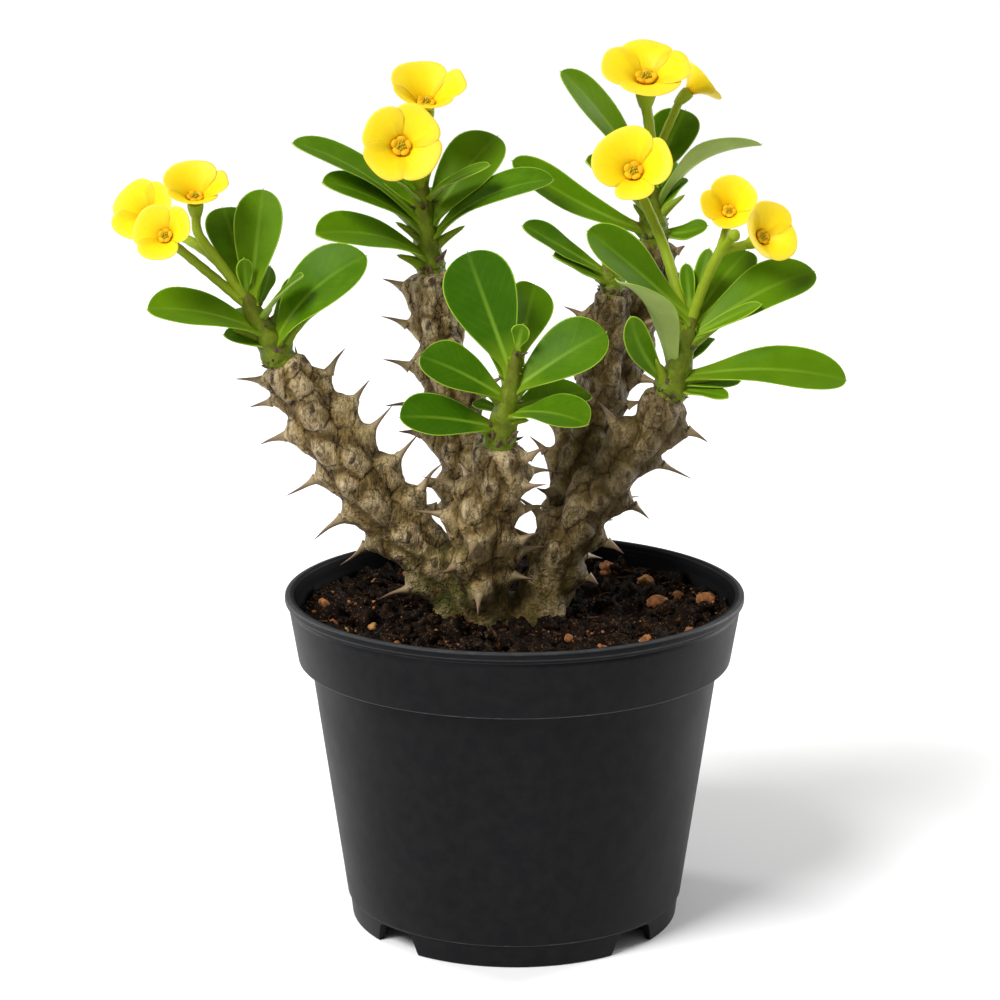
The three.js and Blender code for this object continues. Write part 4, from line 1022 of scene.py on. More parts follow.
def smoothed(points, edges, strength, rounds):
    """Moves each point towards the middle of its neighbours, by its own strength."""
    count = len(points)
    ends = np.concatenate([edges[:, 0], edges[:, 1]])
    others = np.concatenate([edges[:, 1], edges[:, 0]])
    share = np.bincount(ends, minlength=count)[:, None]
    for _ in range(rounds):
        near = np.stack([np.bincount(ends, points[others, k], count) for k in range(3)], axis=1)
        points = points + strength[:, None] * (near / np.maximum(share, 1) - points)
    return points


def outward(points, faces):
    """The outward direction at each point of a skin of quads."""
    quads = np.array([face for face in faces if len(face) == 4])
    a, b, c, d = (points[quads[:, k]] for k in range(4))
    normals = np.cross(c - a, d - b)
    total = np.stack([sum(np.bincount(quads[:, k], normals[:, axis], len(points))
                          for k in range(4)) for axis in range(3)], axis=1)
    return total / np.maximum(np.linalg.norm(total, axis=1, keepdims=True), 1e-9)


def hollowness(points, edges, normals, rounds, depth):
    """How far each point lies in a hollow (towards 1) or on a ridge (towards 0)."""
    level = smoothed(points, edges, np.full(len(points), 0.5), rounds)
    sunk = np.einsum("ij,ij->i", level - points, normals)
    return np.clip(0.5 + 0.5 * sunk / depth, 0, 1)


# Distances to the cushions count less along the plant's height, so their borders are upright ovals.
UPRIGHT = np.array([1, 1, 0.62])
# The width of a border between cushions, and the depth of the seam along it, in mm
BORDER_WIDTH, SEAM_DEPTH = 1.2, 0.34


def cushion_places():
    """The middle of every cushion on the skin, for the finish to find."""
    places = []
    for name, found in CUSHIONS.items():
        for way, angle, _, _ in found:
            t = way / COURSES[name].length
            reach = 0.93 * blended(RADII[name], t) + 0.95 * CUSHION_HEIGHT
            places.append(COURSES[name].at(t) + reach * COURSES[name].out(t, angle))
    return np.array(places)


def nearest_cushions(points):
    """The number of the cushion nearest to each point, its distance in mm, and how near the
    point is to the border with the next one, from 0 to 1."""
    tree = kdtree.KDTree(sum(len(found) for found in CUSHIONS.values()))
    for number, place in enumerate(cushion_places() * UPRIGHT):
        tree.insert(place, number)
    tree.balance()
    pairs = [tree.find_n(p, 2) for p in points * UPRIGHT]
    away, second = (np.array([pair[k][2] for pair in pairs]) for k in (0, 1))
    return [pair[0][1] for pair in pairs], away, np.clip(1 - (second - away) / BORDER_WIDTH, 0, 1)


def wood_skin():
    """The branches and the collar as one skin, with the values that its finish reads."""
    rough = Surface()
    for name in BRANCHES:
        add_branch(rough, name)
    add_root_collar(rough)
    points, faces, edges = remeshed(rough, VOXEL)
    foot = ramp(points[:, 2], 97, 83)
    points = smoothed(points, edges, np.full(len(points), 0.35), 2)
    points = smoothed(points, edges, 0.45 * foot, 12)
    normals = outward(points, faces)
    wobble = np.stack([wave_noise(points, 4.6, seed, 3) for seed in (41.0, 42.0, 43.0)], axis=1)
    nearest, away, border = nearest_cushions(points + 0.95 * wobble)
    border *= ramp(points[:, 2], 84, 92)
    wrinkles = 0.16 * np.abs(wave_noise(points * (1, 1, 0.7), 1.7, 11.0, 3))
    bark = 0.22 * wave_noise(points, 4.2, 12.0, 2) - wrinkles
    bark -= SEAM_DEPTH * border**2 * np.clip(0.65 + wobble[:, 0], 0, 1)
    points = points + normals * bark[:, None]
    patch = np.clip(wave_noise(points, 4.0, 21.0, 3) * 2.2 + 0.6, 0, 1)
    moss = ramp(points[:, 2], 106, 86) * (0.5 + 0.5 * ramp(points[:, 0], -4, -14)) * patch
    bare = np.array([not long for found in CUSHIONS.values() for _, _, _, long in found])
    surface = Surface()
    surface.add(points, faces, away=away, tone=[spread(number * 1.7) for number in nearest],
                # shade marks the right-hand branches for painted shade; hollow and fine mark hollows
                # and ridges for painted shade and highlight, and hollow also places cracks and moss.
                moss=moss, scar=bare[nearest], border=border, shade=ramp(points[:, 0], 4, 18),
                hollow=hollowness(points, edges, normals, 30, 0.5),
                fine=hollowness(points, edges, normals, 3, 0.07))
    return surface


print("the branches are", {name: round(c.length) for name, c in COURSES.items()}, "mm long")

# %% Spines
SPINE_SIDES = 10
SPINE_SHARES = np.concatenate([[0, 0.07, 0.15, 0.24], np.linspace(0.34, 1, 8)])
# How far outside a branch's core the ray starts, how far it goes, and how deep a foot sits, in mm
RAY_START, RAY_LENGTH, FOOT_DEPTH = 7, 9, 0.9
# A spine's point stays this far above the soil's mean level, in mm
POINT_CLEARANCE = 2


def add_spine(surface, foot, aim, sag, length, thick):
    """One thorn: a broad woody foot that narrows quickly to a slender, slightly bent needle."""
    middle = foot + aim * length * 0.5 + sag * length * 0.07

    def radius(t, angles):
        needle = 0.66 * thick * (1 - t)**0.8 + 0.04
        flare = 0.85 * thick * math.exp(-(t * length / 1.7)**1.2)
        return (needle + flare) * (1 + 0.08 * np.sin(3 * angles + t * 4))

    add_tube(surface, Course([foot, middle, foot + aim * length]), SPINE_SHARES, SPINE_SIDES, radius,
             along=np.repeat(SPINE_SHARES, SPINE_SIDES), tone=spread(foot[0] * 3.1 + foot[2]))


def wood_spines(skin):
    """A spine on every cushion that has one. A ray shot at the skin finds its foot."""
    surface = Surface()
    target = bvhtree.BVHTree.FromPolygons(np.vstack(skin.points).tolist(), skin.faces)
    for order, (name, found) in enumerate(CUSHIONS.items()):
        course = COURSES[name]
        for number, (way, angle, lean, long) in enumerate(found):
            if not long:
                continue
            t = way / course.length
            along, side, _ = course.axes(t)
            out = course.out(t, angle)
            aim = unit(out + lean * along)
            far_out = course.at(t) + out * (blended(RADII[name], t) + RAY_START)
            hit = target.ray_cast(Vector(far_out), Vector(-out), RAY_LENGTH)[0]
            if hit is None:
                continue
            foot = np.array(hit) - FOOT_DEPTH * aim
            if (foot + aim * (long + 1.2))[2] < SOIL_LEVEL + POINT_CLEARANCE:
                continue
            key = order * 50 + number
            sag = unit(np.cross(aim, side + 0.2)) * (spread(key) - 0.5) * 2 + along * 0.4
            add_spine(surface, foot, aim, sag, long - 0.6, 0.8 + 0.3 * spread(key + 0.4))
    return surface


print("spines to place:", sum(long > 0 for found in CUSHIONS.values() for *_, long in found))

# %% The wood's finishes
def cracks_group():
    """Dark branching cracks between flakes of bark, broken off here and there."""
    group, given, out = new_group("bark_cracks", [
        ("Per Metre", 260, 1, 5000), ("Width", 0.07, 0, 1)], "Mask")
    place = object_place(group)
    bend = add_node(group, "ShaderNodeVectorMath", {
        0: noise_at(place, 620.0, 4.0, output="Color"), "Scale": 2.2 * MM}, operation="SCALE")
    cells = cells_at(stretched(moved(place, bend.outputs[0]), 0.42), given["Per Metre"],
                     "DISTANCE_TO_EDGE")
    line = ranged(cells, 0.0, given["Width"], 1.0, 0.0)
    group.links.new(times(line, ranged(noise_at(place, 170.0, 2.0), 0.42, 0.58)), out)
    return group


def fibres_group():
    """Fine wrinkles that run up the branches."""
    group, given, out = new_group("bark_fibres", [("Per Metre", 1500, 1, 20000)], "Mask")
    drawn = stretched(object_place(group), 0.3)
    group.links.new(noise_at(drawn, given["Per Metre"], 4.0, 0.6, 0.7), out)
    return group


CRACKS, FIBRES = cracks_group(), fibres_group()


def bark():
    """Tan-grey bark: painted highlight on the ridges and cushion tops, painted shade in the hollows and
    on the right-hand branches, dark cracks, fine wrinkles, a little green at the foot.
    """
    made, tree = new_material("bark")
    clouds = placed(tree, BLOTCHES, 190, 0.3)
    flakes = placed(tree, BLOTCHES, 1000, 0.5, 2.0)
    stains = placed(tree, BLOTCHES, 430, 0.5, 5.0)
    grain = placed(tree, GRAIN, 3600, 0.55)
    scribble = placed(tree, GRAIN, 620, 0.7)
    cracks = placed(tree, CRACKS, 230, 0.05)
    fissures = placed(tree, CRACKS, 560, 0.07)
    fibres = placed(tree, FIBRES, 1100)
    away, tone, moss, scar, hollow, fine, border, shade = point_values(
        tree, "away", "tone", "moss", "scar", "hollow", "fine", "border", "shade")
    ragged = minus(grain, 0.5)
    away = plus(away, times(stains, 0.5))
    hollow = plus(hollow, times(ragged, 0.25))
    rings = times(times(worked("SINE", times(away, 7.0)), ranged(away, 3.2, 0.8)), scar)
    heart = times(ranged(away, 1.5, 0.9, 0, 0.9), scar)
    nearby = worked("ABSOLUTE", minus(scribble, 0.5))
    scribbles = times(ranged(nearby, 0.03, 0.008), ranged(clouds, 0.25, 0.6, 0.3, 1))
    seams = times(ranged(plus(border, times(ragged, 0.5)), 0.66, 0.96),
                  ranged(stains, 0.3, 0.6, 0.1, 0.85))
    base = layered(
        mixed(clouds, (0.180, 0.114, 0.028), (0.315, 0.212, 0.064)),
        (ranged(tone, 0.3, 1.0, 0, 0.5), (0.42, 0.30, 0.115)),
        (times(flakes, 0.35), (0.16, 0.10, 0.036)),
        (times(stains, 0.25), (0.13, 0.08, 0.028)),
        # Painted highlight: the ridges and cushion tops lighter.
        (ranged(hollow, 0.5, 0.06, 0, 0.76), (0.67, 0.525, 0.305)),
        (ranged(fibres, 0.5, 0.38, 0, 0.6), (0.075, 0.046, 0.015)),
        # Painted shade: the wide and the fine hollows darker.
        (ranged(hollow, 0.5, 0.9, 0, 0.82), (0.05, 0.029, 0.009)),
        (ranged(fine, 0.55, 0.95, 0, 0.6), (0.07, 0.042, 0.015)),
        (ranged(rings, 0.2, 1.0, 0, 0.3), (0.10, 0.06, 0.028)),
        (heart, (0.05, 0.026, 0.012)),
        (times(fissures, 0.5), (0.045, 0.026, 0.009)),
        (times(scribbles, 0.4), (0.028, 0.016, 0.007)),
        (times(cracks, ranged(hollow, 0.3, 0.6, 0.55, 1)), (0.02, 0.011, 0.005)),
        (seams, (0.026, 0.014, 0.006)),
        (times(moss, ranged(hollow, 0.2, 0.6, 0.35, 0.8)), (0.062, 0.078, 0.012)),
        # Painted shade: the branches on the right darker.
        (times(shade, ranged(clouds, 0, 1, 0.75, 0.5)), (0.054, 0.035, 0.007)))
    height = grain
    for mask, share in ((fibres, 1.1), (rings, -0.25), (flakes, -0.3), (fissures, -0.35),
                        (cracks, -0.9), (scribbles, -0.4), (seams, -0.8)):
        height = plus(height, times(mask, share))
    return finished(made, base, ranged(grain, 0.3, 0.7, 0.62, 0.42), height, (0.9, 0.6), 0.18)


def spine_horn():
    """Spines: the bark's tan at their broad foot, grey-brown along the needle, dark at the point."""
    made, tree = new_material("spine_horn")
    along, = point_values(tree, "along")
    clouds = placed(tree, BLOTCHES, 500, 0.2)
    grain = placed(tree, GRAIN, 4200, 0.4)
    base = layered(
        mixed(clouds, (0.19, 0.13, 0.055), (0.29, 0.21, 0.10)),
        (ranged(along, 0.15, 0.7, 0, 0.9), (0.13, 0.068, 0.036)),
        (ranged(along, 0.7, 1.0, 0, 0.85), (0.04, 0.02, 0.013)))
    return finished(made, base, ranged(grain, 0.3, 0.7, 0.6, 0.45), grain, (0.4, 0.25))


SKIN = wood_skin()
make_piece("wood_skin", SKIN, [bark()], ["wood"])
make_piece("wood_spines", wood_spines(SKIN), [spine_horn()])

# %% [markdown]
# ## The blooms
# What looks like a petal on a euphorbia is a bract, a coloured leaf. Three or four broad, round
# bracts overlap into a shallow bowl about 20 mm across, on a green cup. In their throat
# stand five fleshy glands round a cluster of tiny anthers. One bowl with a notched rim would be
# simpler, but the overlaps are what the eye reads as a flower, so each bract is a closed patch
# of its own, laid over its neighbour on one side and under it on the other.

# %% The table of blooms
# Of each bloom: its shoot, its centre, how far it is turned to the right and tipped up in
# degrees, its width and the rise of its bracts in mm, the share of the stem's length where its
# stalk starts, and the stalk's points. Each bract has a direction round the bloom and half a
# span, in degrees. Without spans the bracts share the round by their directions.
Bloom = namedtuple("Bloom", "shoot centre turn lift across cup start stalk bracts spans",
                   defaults=(None,))
BLOOMS = {
    "left_front": Bloom("shoot_left", (-87.5, -13, 183), -15, 28, 15.5, 4, 0.75, [(-77, -6, 172)],
        [-62, 62, 185], [80, 58, 66]),
    "left_top": Bloom("shoot_left", (-80.5, -5, 192), 5, 56, 17, 5, 0.85,
        [(-75, -6, 175.5), (-80, -4, 182)], [-25, 85, 190], [88, 46, 78]),
    "left_back": Bloom("shoot_left", (-94, 4, 186), -24, 32, 17, 4, 0.85,
        [(-75, -5.5, 175), (-82, -1, 179.5)], [-50, 70, 190]),
    "middle_front": Bloom("shoot_middle_left", (-29, 8, 203), 2, 20, 21, 3, 0.85, [(-27.5, 20, 197)],
        [-50, 40, 130, 220]),
    "middle_back": Bloom("shoot_middle_left", (-23, 24, 213), 8, 57, 20, 5.5, 0.9, [(-23, 26.5, 200)],
        [-30, 85, 200], [88, 44, 84]),
    "right_top": Bloom("shoot_back_right", (34, 22, 219.7), -2, 57, 23.5, 2.4, 0.9,
        [(35.5, 28.5, 204)], [-80, 0, 85, 170]),
    "right_back": Bloom("shoot_back_right", (47.2, 36, 215.3), 110, 42, 14.5, 4, 0.9,
        [(39, 32, 201.5)], [-60, 60, 180]),
    "right_front": Bloom("shoot_right", (30, 2, 197.5), -8, 30, 20.5, 4, 0.8,
        [(41.5, -3, 166), (38, 3, 178)], [-50, 80, 172], [98, 56, 44]),
    "right_small": Bloom("shoot_right", (54.5, 2, 187.2), -5, 34, 15, 6.3, 0.9,
        [(48.5, -4, 170.5), (52, -3, 178)], [-95, 25, 165], [52, 88, 70]),
    "right_side": Bloom("shoot_right", (62.5, -8, 182), 35, 25, 16, 4.6, 0.9,
        [(48.5, -4, 170.5), (52, -3, 177)], [-95, 20, 135]),
}

Bud = namedtuple("Bud", "shoot start stalk tip")
BUD = Bud("shoot_right", 0.9, [(48.5, -4, 170.5), (52.2, -4, 177.5)], (54.8, -7.5, 181.8))
print(len(BLOOMS), "blooms,", min(b.across for b in BLOOMS.values()), "to",
      max(b.across for b in BLOOMS.values()), "mm across")

# %% Bracts
BRACT_THICKNESS, BRACT_OVERLAP = 0.24, 1.3
BRACT_RINGS, BRACT_COLUMNS = 15, 25
# The depths of a bloom 20 mm across below its centre, and the radii of its cup
THROAT_TOP, THROAT_BOTTOM, CUP_BOTTOM = 2.7, 4.3, 8.5
CUP_RADII = [1.3, 2.3]
THROAT_RADIUS = 1.5


def bloom_axes(bloom):
    """A bloom's centre, the way it faces, its top, its right, and its scale."""
    turn, lift = math.radians(bloom.turn), math.radians(bloom.lift)
    facing = np.array([math.sin(turn) * math.cos(lift), -math.cos(turn) * math.cos(lift),
                       math.sin(lift)])
    top = unit(np.array([0, 0, 1.0]) - facing[2] * facing)
    return np.array(bloom.centre, float), facing, top, np.cross(top, facing), bloom.across / 20


def bract_spans(bloom):
    """The middle and half the span of each bract, in degrees, with the overlap."""
    around = bloom.bracts
    if bloom.spans:
        return list(zip(around, bloom.spans))
    before = [around[-1] - 360, *around[:-1]]
    after = [*around[1:], around[0] + 360]
    return [(middle, (b - a) / 4 * BRACT_OVERLAP) for middle, a, b in zip(around, before, after)]


def add_bract(surface, bloom, direction, half, key):
    """One bract: a closed patch with an upper and a lower skin that meet at its rim."""
    centre, facing, top, right, scale = bloom_axes(bloom)
    columns = np.linspace(-1, 1, BRACT_COLUMNS)
    shares = np.linspace(0, 1, BRACT_RINGS)**0.85
    size = 1.0 + 0.05 * (spread(key) - 0.5)
    angle = np.radians(direction + columns * half)
    rim = 10 * size * (1 - 0.34 * np.abs(columns)**4.5 + 0.014 * np.sin(7 * columns + key))

    def skin(upper):
        rows = []
        for share in shares:
            r = THROAT_RADIUS + (rim - THROAT_RADIUS) * share
            reach = np.clip((r - 2) / 8, 0, 2)
            z = (-THROAT_TOP * np.exp(-np.clip(r - THROAT_RADIUS, 0, 9) / 1.5)
                 + bloom.cup * 1.12 * reach**0.95)
            z += 0.09 * columns * (0.2 + 0.8 * share)
            z += 0.3 * share**2 * (columns**2 - 0.35)
            z += 0.28 * share**3 * np.sin(3.1 * columns + 6.3 * spread(key + 1))
            z -= 0.42 * np.clip(share - 0.6, 0, 1)**2 * 6 * (0.7 + 0.6 * spread(key + 2))
            edge = np.sqrt(np.clip(1 - share**6, 0.02, 1)) * np.sqrt(np.clip(1 - columns**8, 0.02, 1))
            z = z * scale + (0.5 if upper else -0.5) * BRACT_THICKNESS * edge
            rows.append(centre + (scale * r * np.cos(angle))[:, None] * top
                        + (scale * r * np.sin(angle))[:, None] * right + z[:, None] * facing)
        return np.vstack(rows)

    count = BRACT_RINGS * BRACT_COLUMNS
    faces = ring_faces(BRACT_RINGS, BRACT_COLUMNS, closed=False, flip=True)
    faces += [tuple(i + count for i in face[::-1]) for face in faces]
    grid = np.arange(count).reshape(BRACT_RINGS, BRACT_COLUMNS)
    border = np.concatenate([grid[0], grid[1:, -1], grid[-1, -2::-1], grid[-2:0:-1, 0]]).tolist()
    for a, b in zip(border, border[1:] + border[:1]):
        faces.append((a, b, b + count, a + count))
    surface.add(np.vstack([skin(True), skin(False)]), faces, tone=spread(key + 3),
                radial=np.tile(np.repeat(shares, BRACT_COLUMNS), 2),
                sideways=np.tile(columns, 2 * BRACT_RINGS))


def bloom_bowl(bloom, key):
    surface = Surface()
    for number, (direction, half) in enumerate(bract_spans(bloom)):
        add_bract(surface, bloom, direction, half, key + number * 3)
    return surface


print("bracts on each bloom:", [len(bract_spans(bloom)) for bloom in BLOOMS.values()])

# %% Glands and anthers in the throat
GLAND, ANTHER = 0, 1
GLANDS, GLAND_RADII = 5, np.array([0.86, 1.2, 0.52])
ANTHERS, ANTHER_RADII = 9, np.array([0.3, 0.3, 0.42])
# Each anther stands this far round from the one before, in radians, as seeds do in a sunflower
GOLDEN_TURN = 2.4


def add_ball(surface, place, axes, radii, level, finish, **values):
    points, faces = BALLS[level]
    shaped = sum((points[:, k] * radii[k])[:, None] * axes[k] for k in range(3))
    surface.add(place + shaped, faces, finish, **values)


def bloom_throat(bloom, key):
    """Five plump glands in a ring, and a tuft of greenish anthers between them."""
    centre, facing, top, right, scale = bloom_axes(bloom)
    surface = Surface()
    for i in range(GLANDS):
        angle = 2 * math.pi * (i + spread(key)) / GLANDS
        out = math.cos(angle) * top + math.sin(angle) * right
        place = centre + scale * (1.7 * out - 0.45 * facing)
        lean, round_it = unit(out + 0.45 * facing), np.cross(facing, out)
        add_ball(surface, place, (lean, round_it, np.cross(lean, round_it)), scale * GLAND_RADII, 3,
                 GLAND, tone=spread(key + i))
    plug = Course([centre - scale * depth * facing for depth in (THROAT_TOP, 1.2, 0.35)])
    add_tube(surface, plug, np.linspace(0, 1, 6), 16,
             lambda t, a: scale * (THROAT_RADIUS + 0.2 * t), GLAND, tone=0.3)
    for i in range(ANTHERS):
        angle, reach = GOLDEN_TURN * i, 0.22 + 0.3 * math.sqrt(i)
        out = math.cos(angle) * top + math.sin(angle) * right
        place = centre + scale * (reach * out + (0.15 - 0.25 * reach) * facing)
        add_ball(surface, place, (top, right, facing), scale * ANTHER_RADII, 2, ANTHER,
                 tone=spread(key + 20 + i))
    return surface


print("each throat has", GLANDS, "glands and", ANTHERS, "anthers")

# %% [markdown]
# ## The leafy shoots
# On each branch sits a short green shoot with spoon-shaped leaves. A leaf is thick at its
# petiole and thin at its edge, hollow along the middle, and no two bend alike. Photographs of
# leaves on flat cards are the usual shortcut, but they vanish edge-on and have no thickness.
# Here each leaf is a closed blade made from its row in a table: where it leaves the stem, where
# its tip is, how broad it is, how far its middle rises, and which way its upper side looks.

# %% The table of shoots and their leaves
# Of each leaf: the share of the stem's length where it starts, its tip, its width and the rise
# of its middle in mm, the way its upper side looks, the sideways bend of its middle in mm, and
# how light its green is, from 0 to 1. A leaf without that last value gets a seeded one.
Leaf = namedtuple("Leaf", "at tip wide rise face bend tone", defaults=(0, None))
Shoot = namedtuple("Shoot", "branch stem radii leaves")
SHOOTS = {
    "shoot_left": Shoot("left", [(-63.5, -3, 156.5), (-66.5, -4, 162), (-68.5, -5, 167.5)],
        [4, 3.4, 2.9, 2.2], [
            Leaf(0.3, (-92.5, -12, 164), 16, 3, (0, -0.45, 0.9), tone=0.85),
            Leaf(0.9, (-75, 8, 187), 13, 2, (0.3, -0.9, 0.3)),
            Leaf(0.8, (-64, 2, 192.5), 12.5, 1, (-0.1, -0.95, 0.2), tone=0.7),
            Leaf(0.95, (-68.5, -6, 176), 4.5, 0, (0.3, -0.9, 0.2)),
            Leaf(0.7, (-62.5, 1, 173), 6, 0.5, (0.9, -0.2, 0.4)),
            Leaf(0.12, (-37.5, -8, 177), 18, 5.5, (-0.5, -0.7, 0.5)),
            Leaf(0.55, (-53, -15, 173), 6.5, 1, (-0.4, -0.3, 0.85)),
            Leaf(0.08, (-48.5, 5, 163), 9, 1, (-0.5, -0.3, 0.8)),
            Leaf(0.08, (-74, -6, 156.5), 7.5, 1, (0, -0.4, 0.9)),
            Leaf(0.3, (-48, 24, 165), 14, 3, (0, -0.4, 0.9)),
            Leaf(0.35, (-79, 19, 157), 13, 2, (0.2, -0.3, 0.9))]),
    "shoot_middle_left": Shoot("middleLeft", [(-23.3, 25, 178), (-24, 25, 186), (-24.5, 25, 193.5)],
        [3.8, 3.3, 2.8, 2.3], [
            Leaf(0.42, (-57.5, 18, 202.5), 14, 3.5, (0.3, -0.3, 0.9)),
            Leaf(0.32, (-49.5, 12, 193), 14, 3, (0.1, -0.4, 0.9)),
            Leaf(0.05, (-51, 6, 180.5), 15, 4, (0.05, -0.5, 0.85)),
            Leaf(0.6, (-37.5, 31, 200), 13, 1, (0.4, -0.8, 0.4)),
            Leaf(0.7, (-31.5, 13, 194), 5, 0.5, (0.3, -0.4, 0.8)),
            Leaf(0.4, (-4.5, 34, 202.5), 16, 2.5, (-0.4, -0.85, 0.35)),
            Leaf(0.72, (-6.5, 15, 197), 6.5, 1, (-0.3, -0.35, 0.9)),
            Leaf(0.25, (10, 18, 193), 14, 4.5, (-0.25, -0.4, 0.9)),
            Leaf(0.3, (-24, 55, 186), 15, 4, (0, -0.35, 0.9)),
            Leaf(0.75, (-27, 45, 203), 12, 2, (0, -0.7, 0.7))]),
    "shoot_centre": Shoot("centre", [(-2.4, -10, 137), (-0.5, -10, 146), (0.5, -10, 153.5)],
        [4.3, 3.3, 2.7, 2], [
            Leaf(0.7, (-12, -2, 177), 18.5, 1, (-0.15, -0.95, 0.25), tone=0.04),
            Leaf(0.85, (5, 9, 167), 12, 1, (0.3, -0.9, 0.3)),
            Leaf(0.5, (23, -8, 157.5), 16.5, 2, (-0.4, -0.75, 0.5), tone=0.3),
            Leaf(0.42, (-24, -10, 151.5), 15, 2, (0.25, -0.6, 0.7), tone=0.1),
            Leaf(0.1, (-29, -18, 137.5), 15, 2, (0.15, -0.55, 0.8), tone=0.06),
            Leaf(0.25, (18, -24, 137), 15, 2.5, (0, -0.35, 0.9), tone=0.25),
            Leaf(0.3, (19, 3, 139.5), 12, 1.5, (0, -0.4, 0.9)),
            Leaf(0.3, (-10.5, -4, 138.5), 4.5, 0.5, (0.2, -0.6, 0.7)),
            Leaf(1, (2, -11, 160), 5, 0, (-0.2, -0.9, 0.3)),
            Leaf(0.5, (-3, 20, 158), 15, 3, (0, -0.5, 0.85))]),
    "shoot_back_right": Shoot("backRight", [(36.5, 31, 182), (36, 31, 187), (36, 30.5, 192)],
        [3.7, 3.3, 2.8, 2.3], [
            Leaf(0.75, (12, 28, 220), 13, 2, (0.5, -0.5, 0.6)),
            Leaf(0.35, (64.5, 26, 201.3), 12, 6, (-0.4, 0.47, 0.8)),
            Leaf(0.85, (45.5, 42, 208.5), 13, 1, (-0.2, -0.9, 0.35)),
            Leaf(0.25, (18.5, 20, 197.5), 12, 1.5, (0.65, -0.25, 0.7)),
            Leaf(0.3, (45.5, 37, 191), 8, 1, (-0.6, -0.5, 0.6)),
            Leaf(0.04, (-0.5, 30, 196.5), 11, 0.5, (0.35, -0.7, 0.6), bend=2.5),
            Leaf(0.06, (51, 29, 179.5), 6.5, -1.5, (-0.3, -0.5, 0.8)),
            Leaf(0.3, (38, 59, 192), 14, 4, (0, -0.35, 0.9))]),
    "shoot_side": Shoot("side", [(24.8, 19, 167), (24, 19, 171)], [3.4, 2.8, 2], [
            Leaf(0.5, (2, 14, 181.5), 10, 0.5, (0.4, -0.45, 0.8)),
            Leaf(0.05, (10, 12, 174), 7.5, 0.5, (0.3, -0.35, 0.9)),
            Leaf(0.6, (26, 38, 174.5), 11, 2, (0, -0.4, 0.9)),
            Leaf(0.9, (24, 16, 180), 5, 0, (-0.2, -0.9, 0.3))]),
    "shoot_right": Shoot("right", [(42, -5, 149), (43.8, -5, 156), (45, -5, 162)], [4.2, 3.6, 3, 2.3], [
            Leaf(0.9, (18, -12, 183.8), 13.5, 1, (0.45, -0.7, 0.55)),
            Leaf(0.03, (25.5, -24, 173), 13, 6.5, (0.6, 0.5, 0.6)),
            Leaf(0.08, (29, -14, 162.5), 7, 0.5, (-0.3, -0.8, 0.5), bend=2),
            Leaf(0.6, (76.5, 2, 171.5), 14.5, 4, (-0.3, -0.7, 0.65)),
            Leaf(0.65, (62, -10, 165), 4.5, 0.5, (-0.2, -0.6, 0.8)),
            Leaf(0.16, (84, -10, 145.5), 15, 4, (0, -0.55, 0.8)),
            Leaf(0.06, (57.5, -6, 144.5), 8, 1, (-0.1, -0.4, 0.9)),
            Leaf(0.04, (54, -12, 141.5), 6, 0.5, (-0.1, -0.4, 0.9)),
            Leaf(0.25, (50.5, 6, 153.5), 7.5, 1, (-0.4, -0.5, 0.75)),
            Leaf(0.8, (60.5, 13, 175), 12, 1.5, (-0.4, -0.8, 0.4)),
            Leaf(0.95, (43.5, -1, 174), 4, 0, (-0.2, -0.9, 0.3)),
            Leaf(0.95, (49.5, 1, 177.5), 4.5, 0, (-0.3, -0.9, 0.3)),
            Leaf(0.35, (50, 27, 158), 15, 3, (0, -0.5, 0.85))]),
}
print("leaves on each shoot:", {name: len(shoot.leaves) for name, shoot in SHOOTS.items()})

# %% Leaves
LEAF_HOLLOW = 0.18
LEAF_ROWS, LEAF_HALF_POINTS = 26, 13
# Round a leaf's cross-section: the place across it, from -1 to 1, and its upper or lower side
LEAF_HALF = np.sin(np.linspace(-math.pi / 2, math.pi / 2, LEAF_HALF_POINTS))
LEAF_ACROSS = np.concatenate([LEAF_HALF, LEAF_HALF[-2:0:-1]])
LEAF_UPPER = np.concatenate([np.ones(LEAF_HALF_POINTS), -np.ones(LEAF_HALF_POINTS - 2)])
LEAF_SHARES = (1 - np.cos(np.linspace(0, math.pi, LEAF_ROWS))) / 2


def leaf_half_width(u, wide):
    """Half the leaf's width: a narrow petiole, broadest beyond the middle, round at the tip."""
    blade = (wide / 2) * u**1.3 * (1 - u)**0.5 / 0.345
    petiole = min(1.5, 0.1 * wide + 0.3) * (1 - u)**0.5 * (1 + 0.7 * math.exp(-u * 14))
    return max(math.hypot(blade, petiole), 0.2)


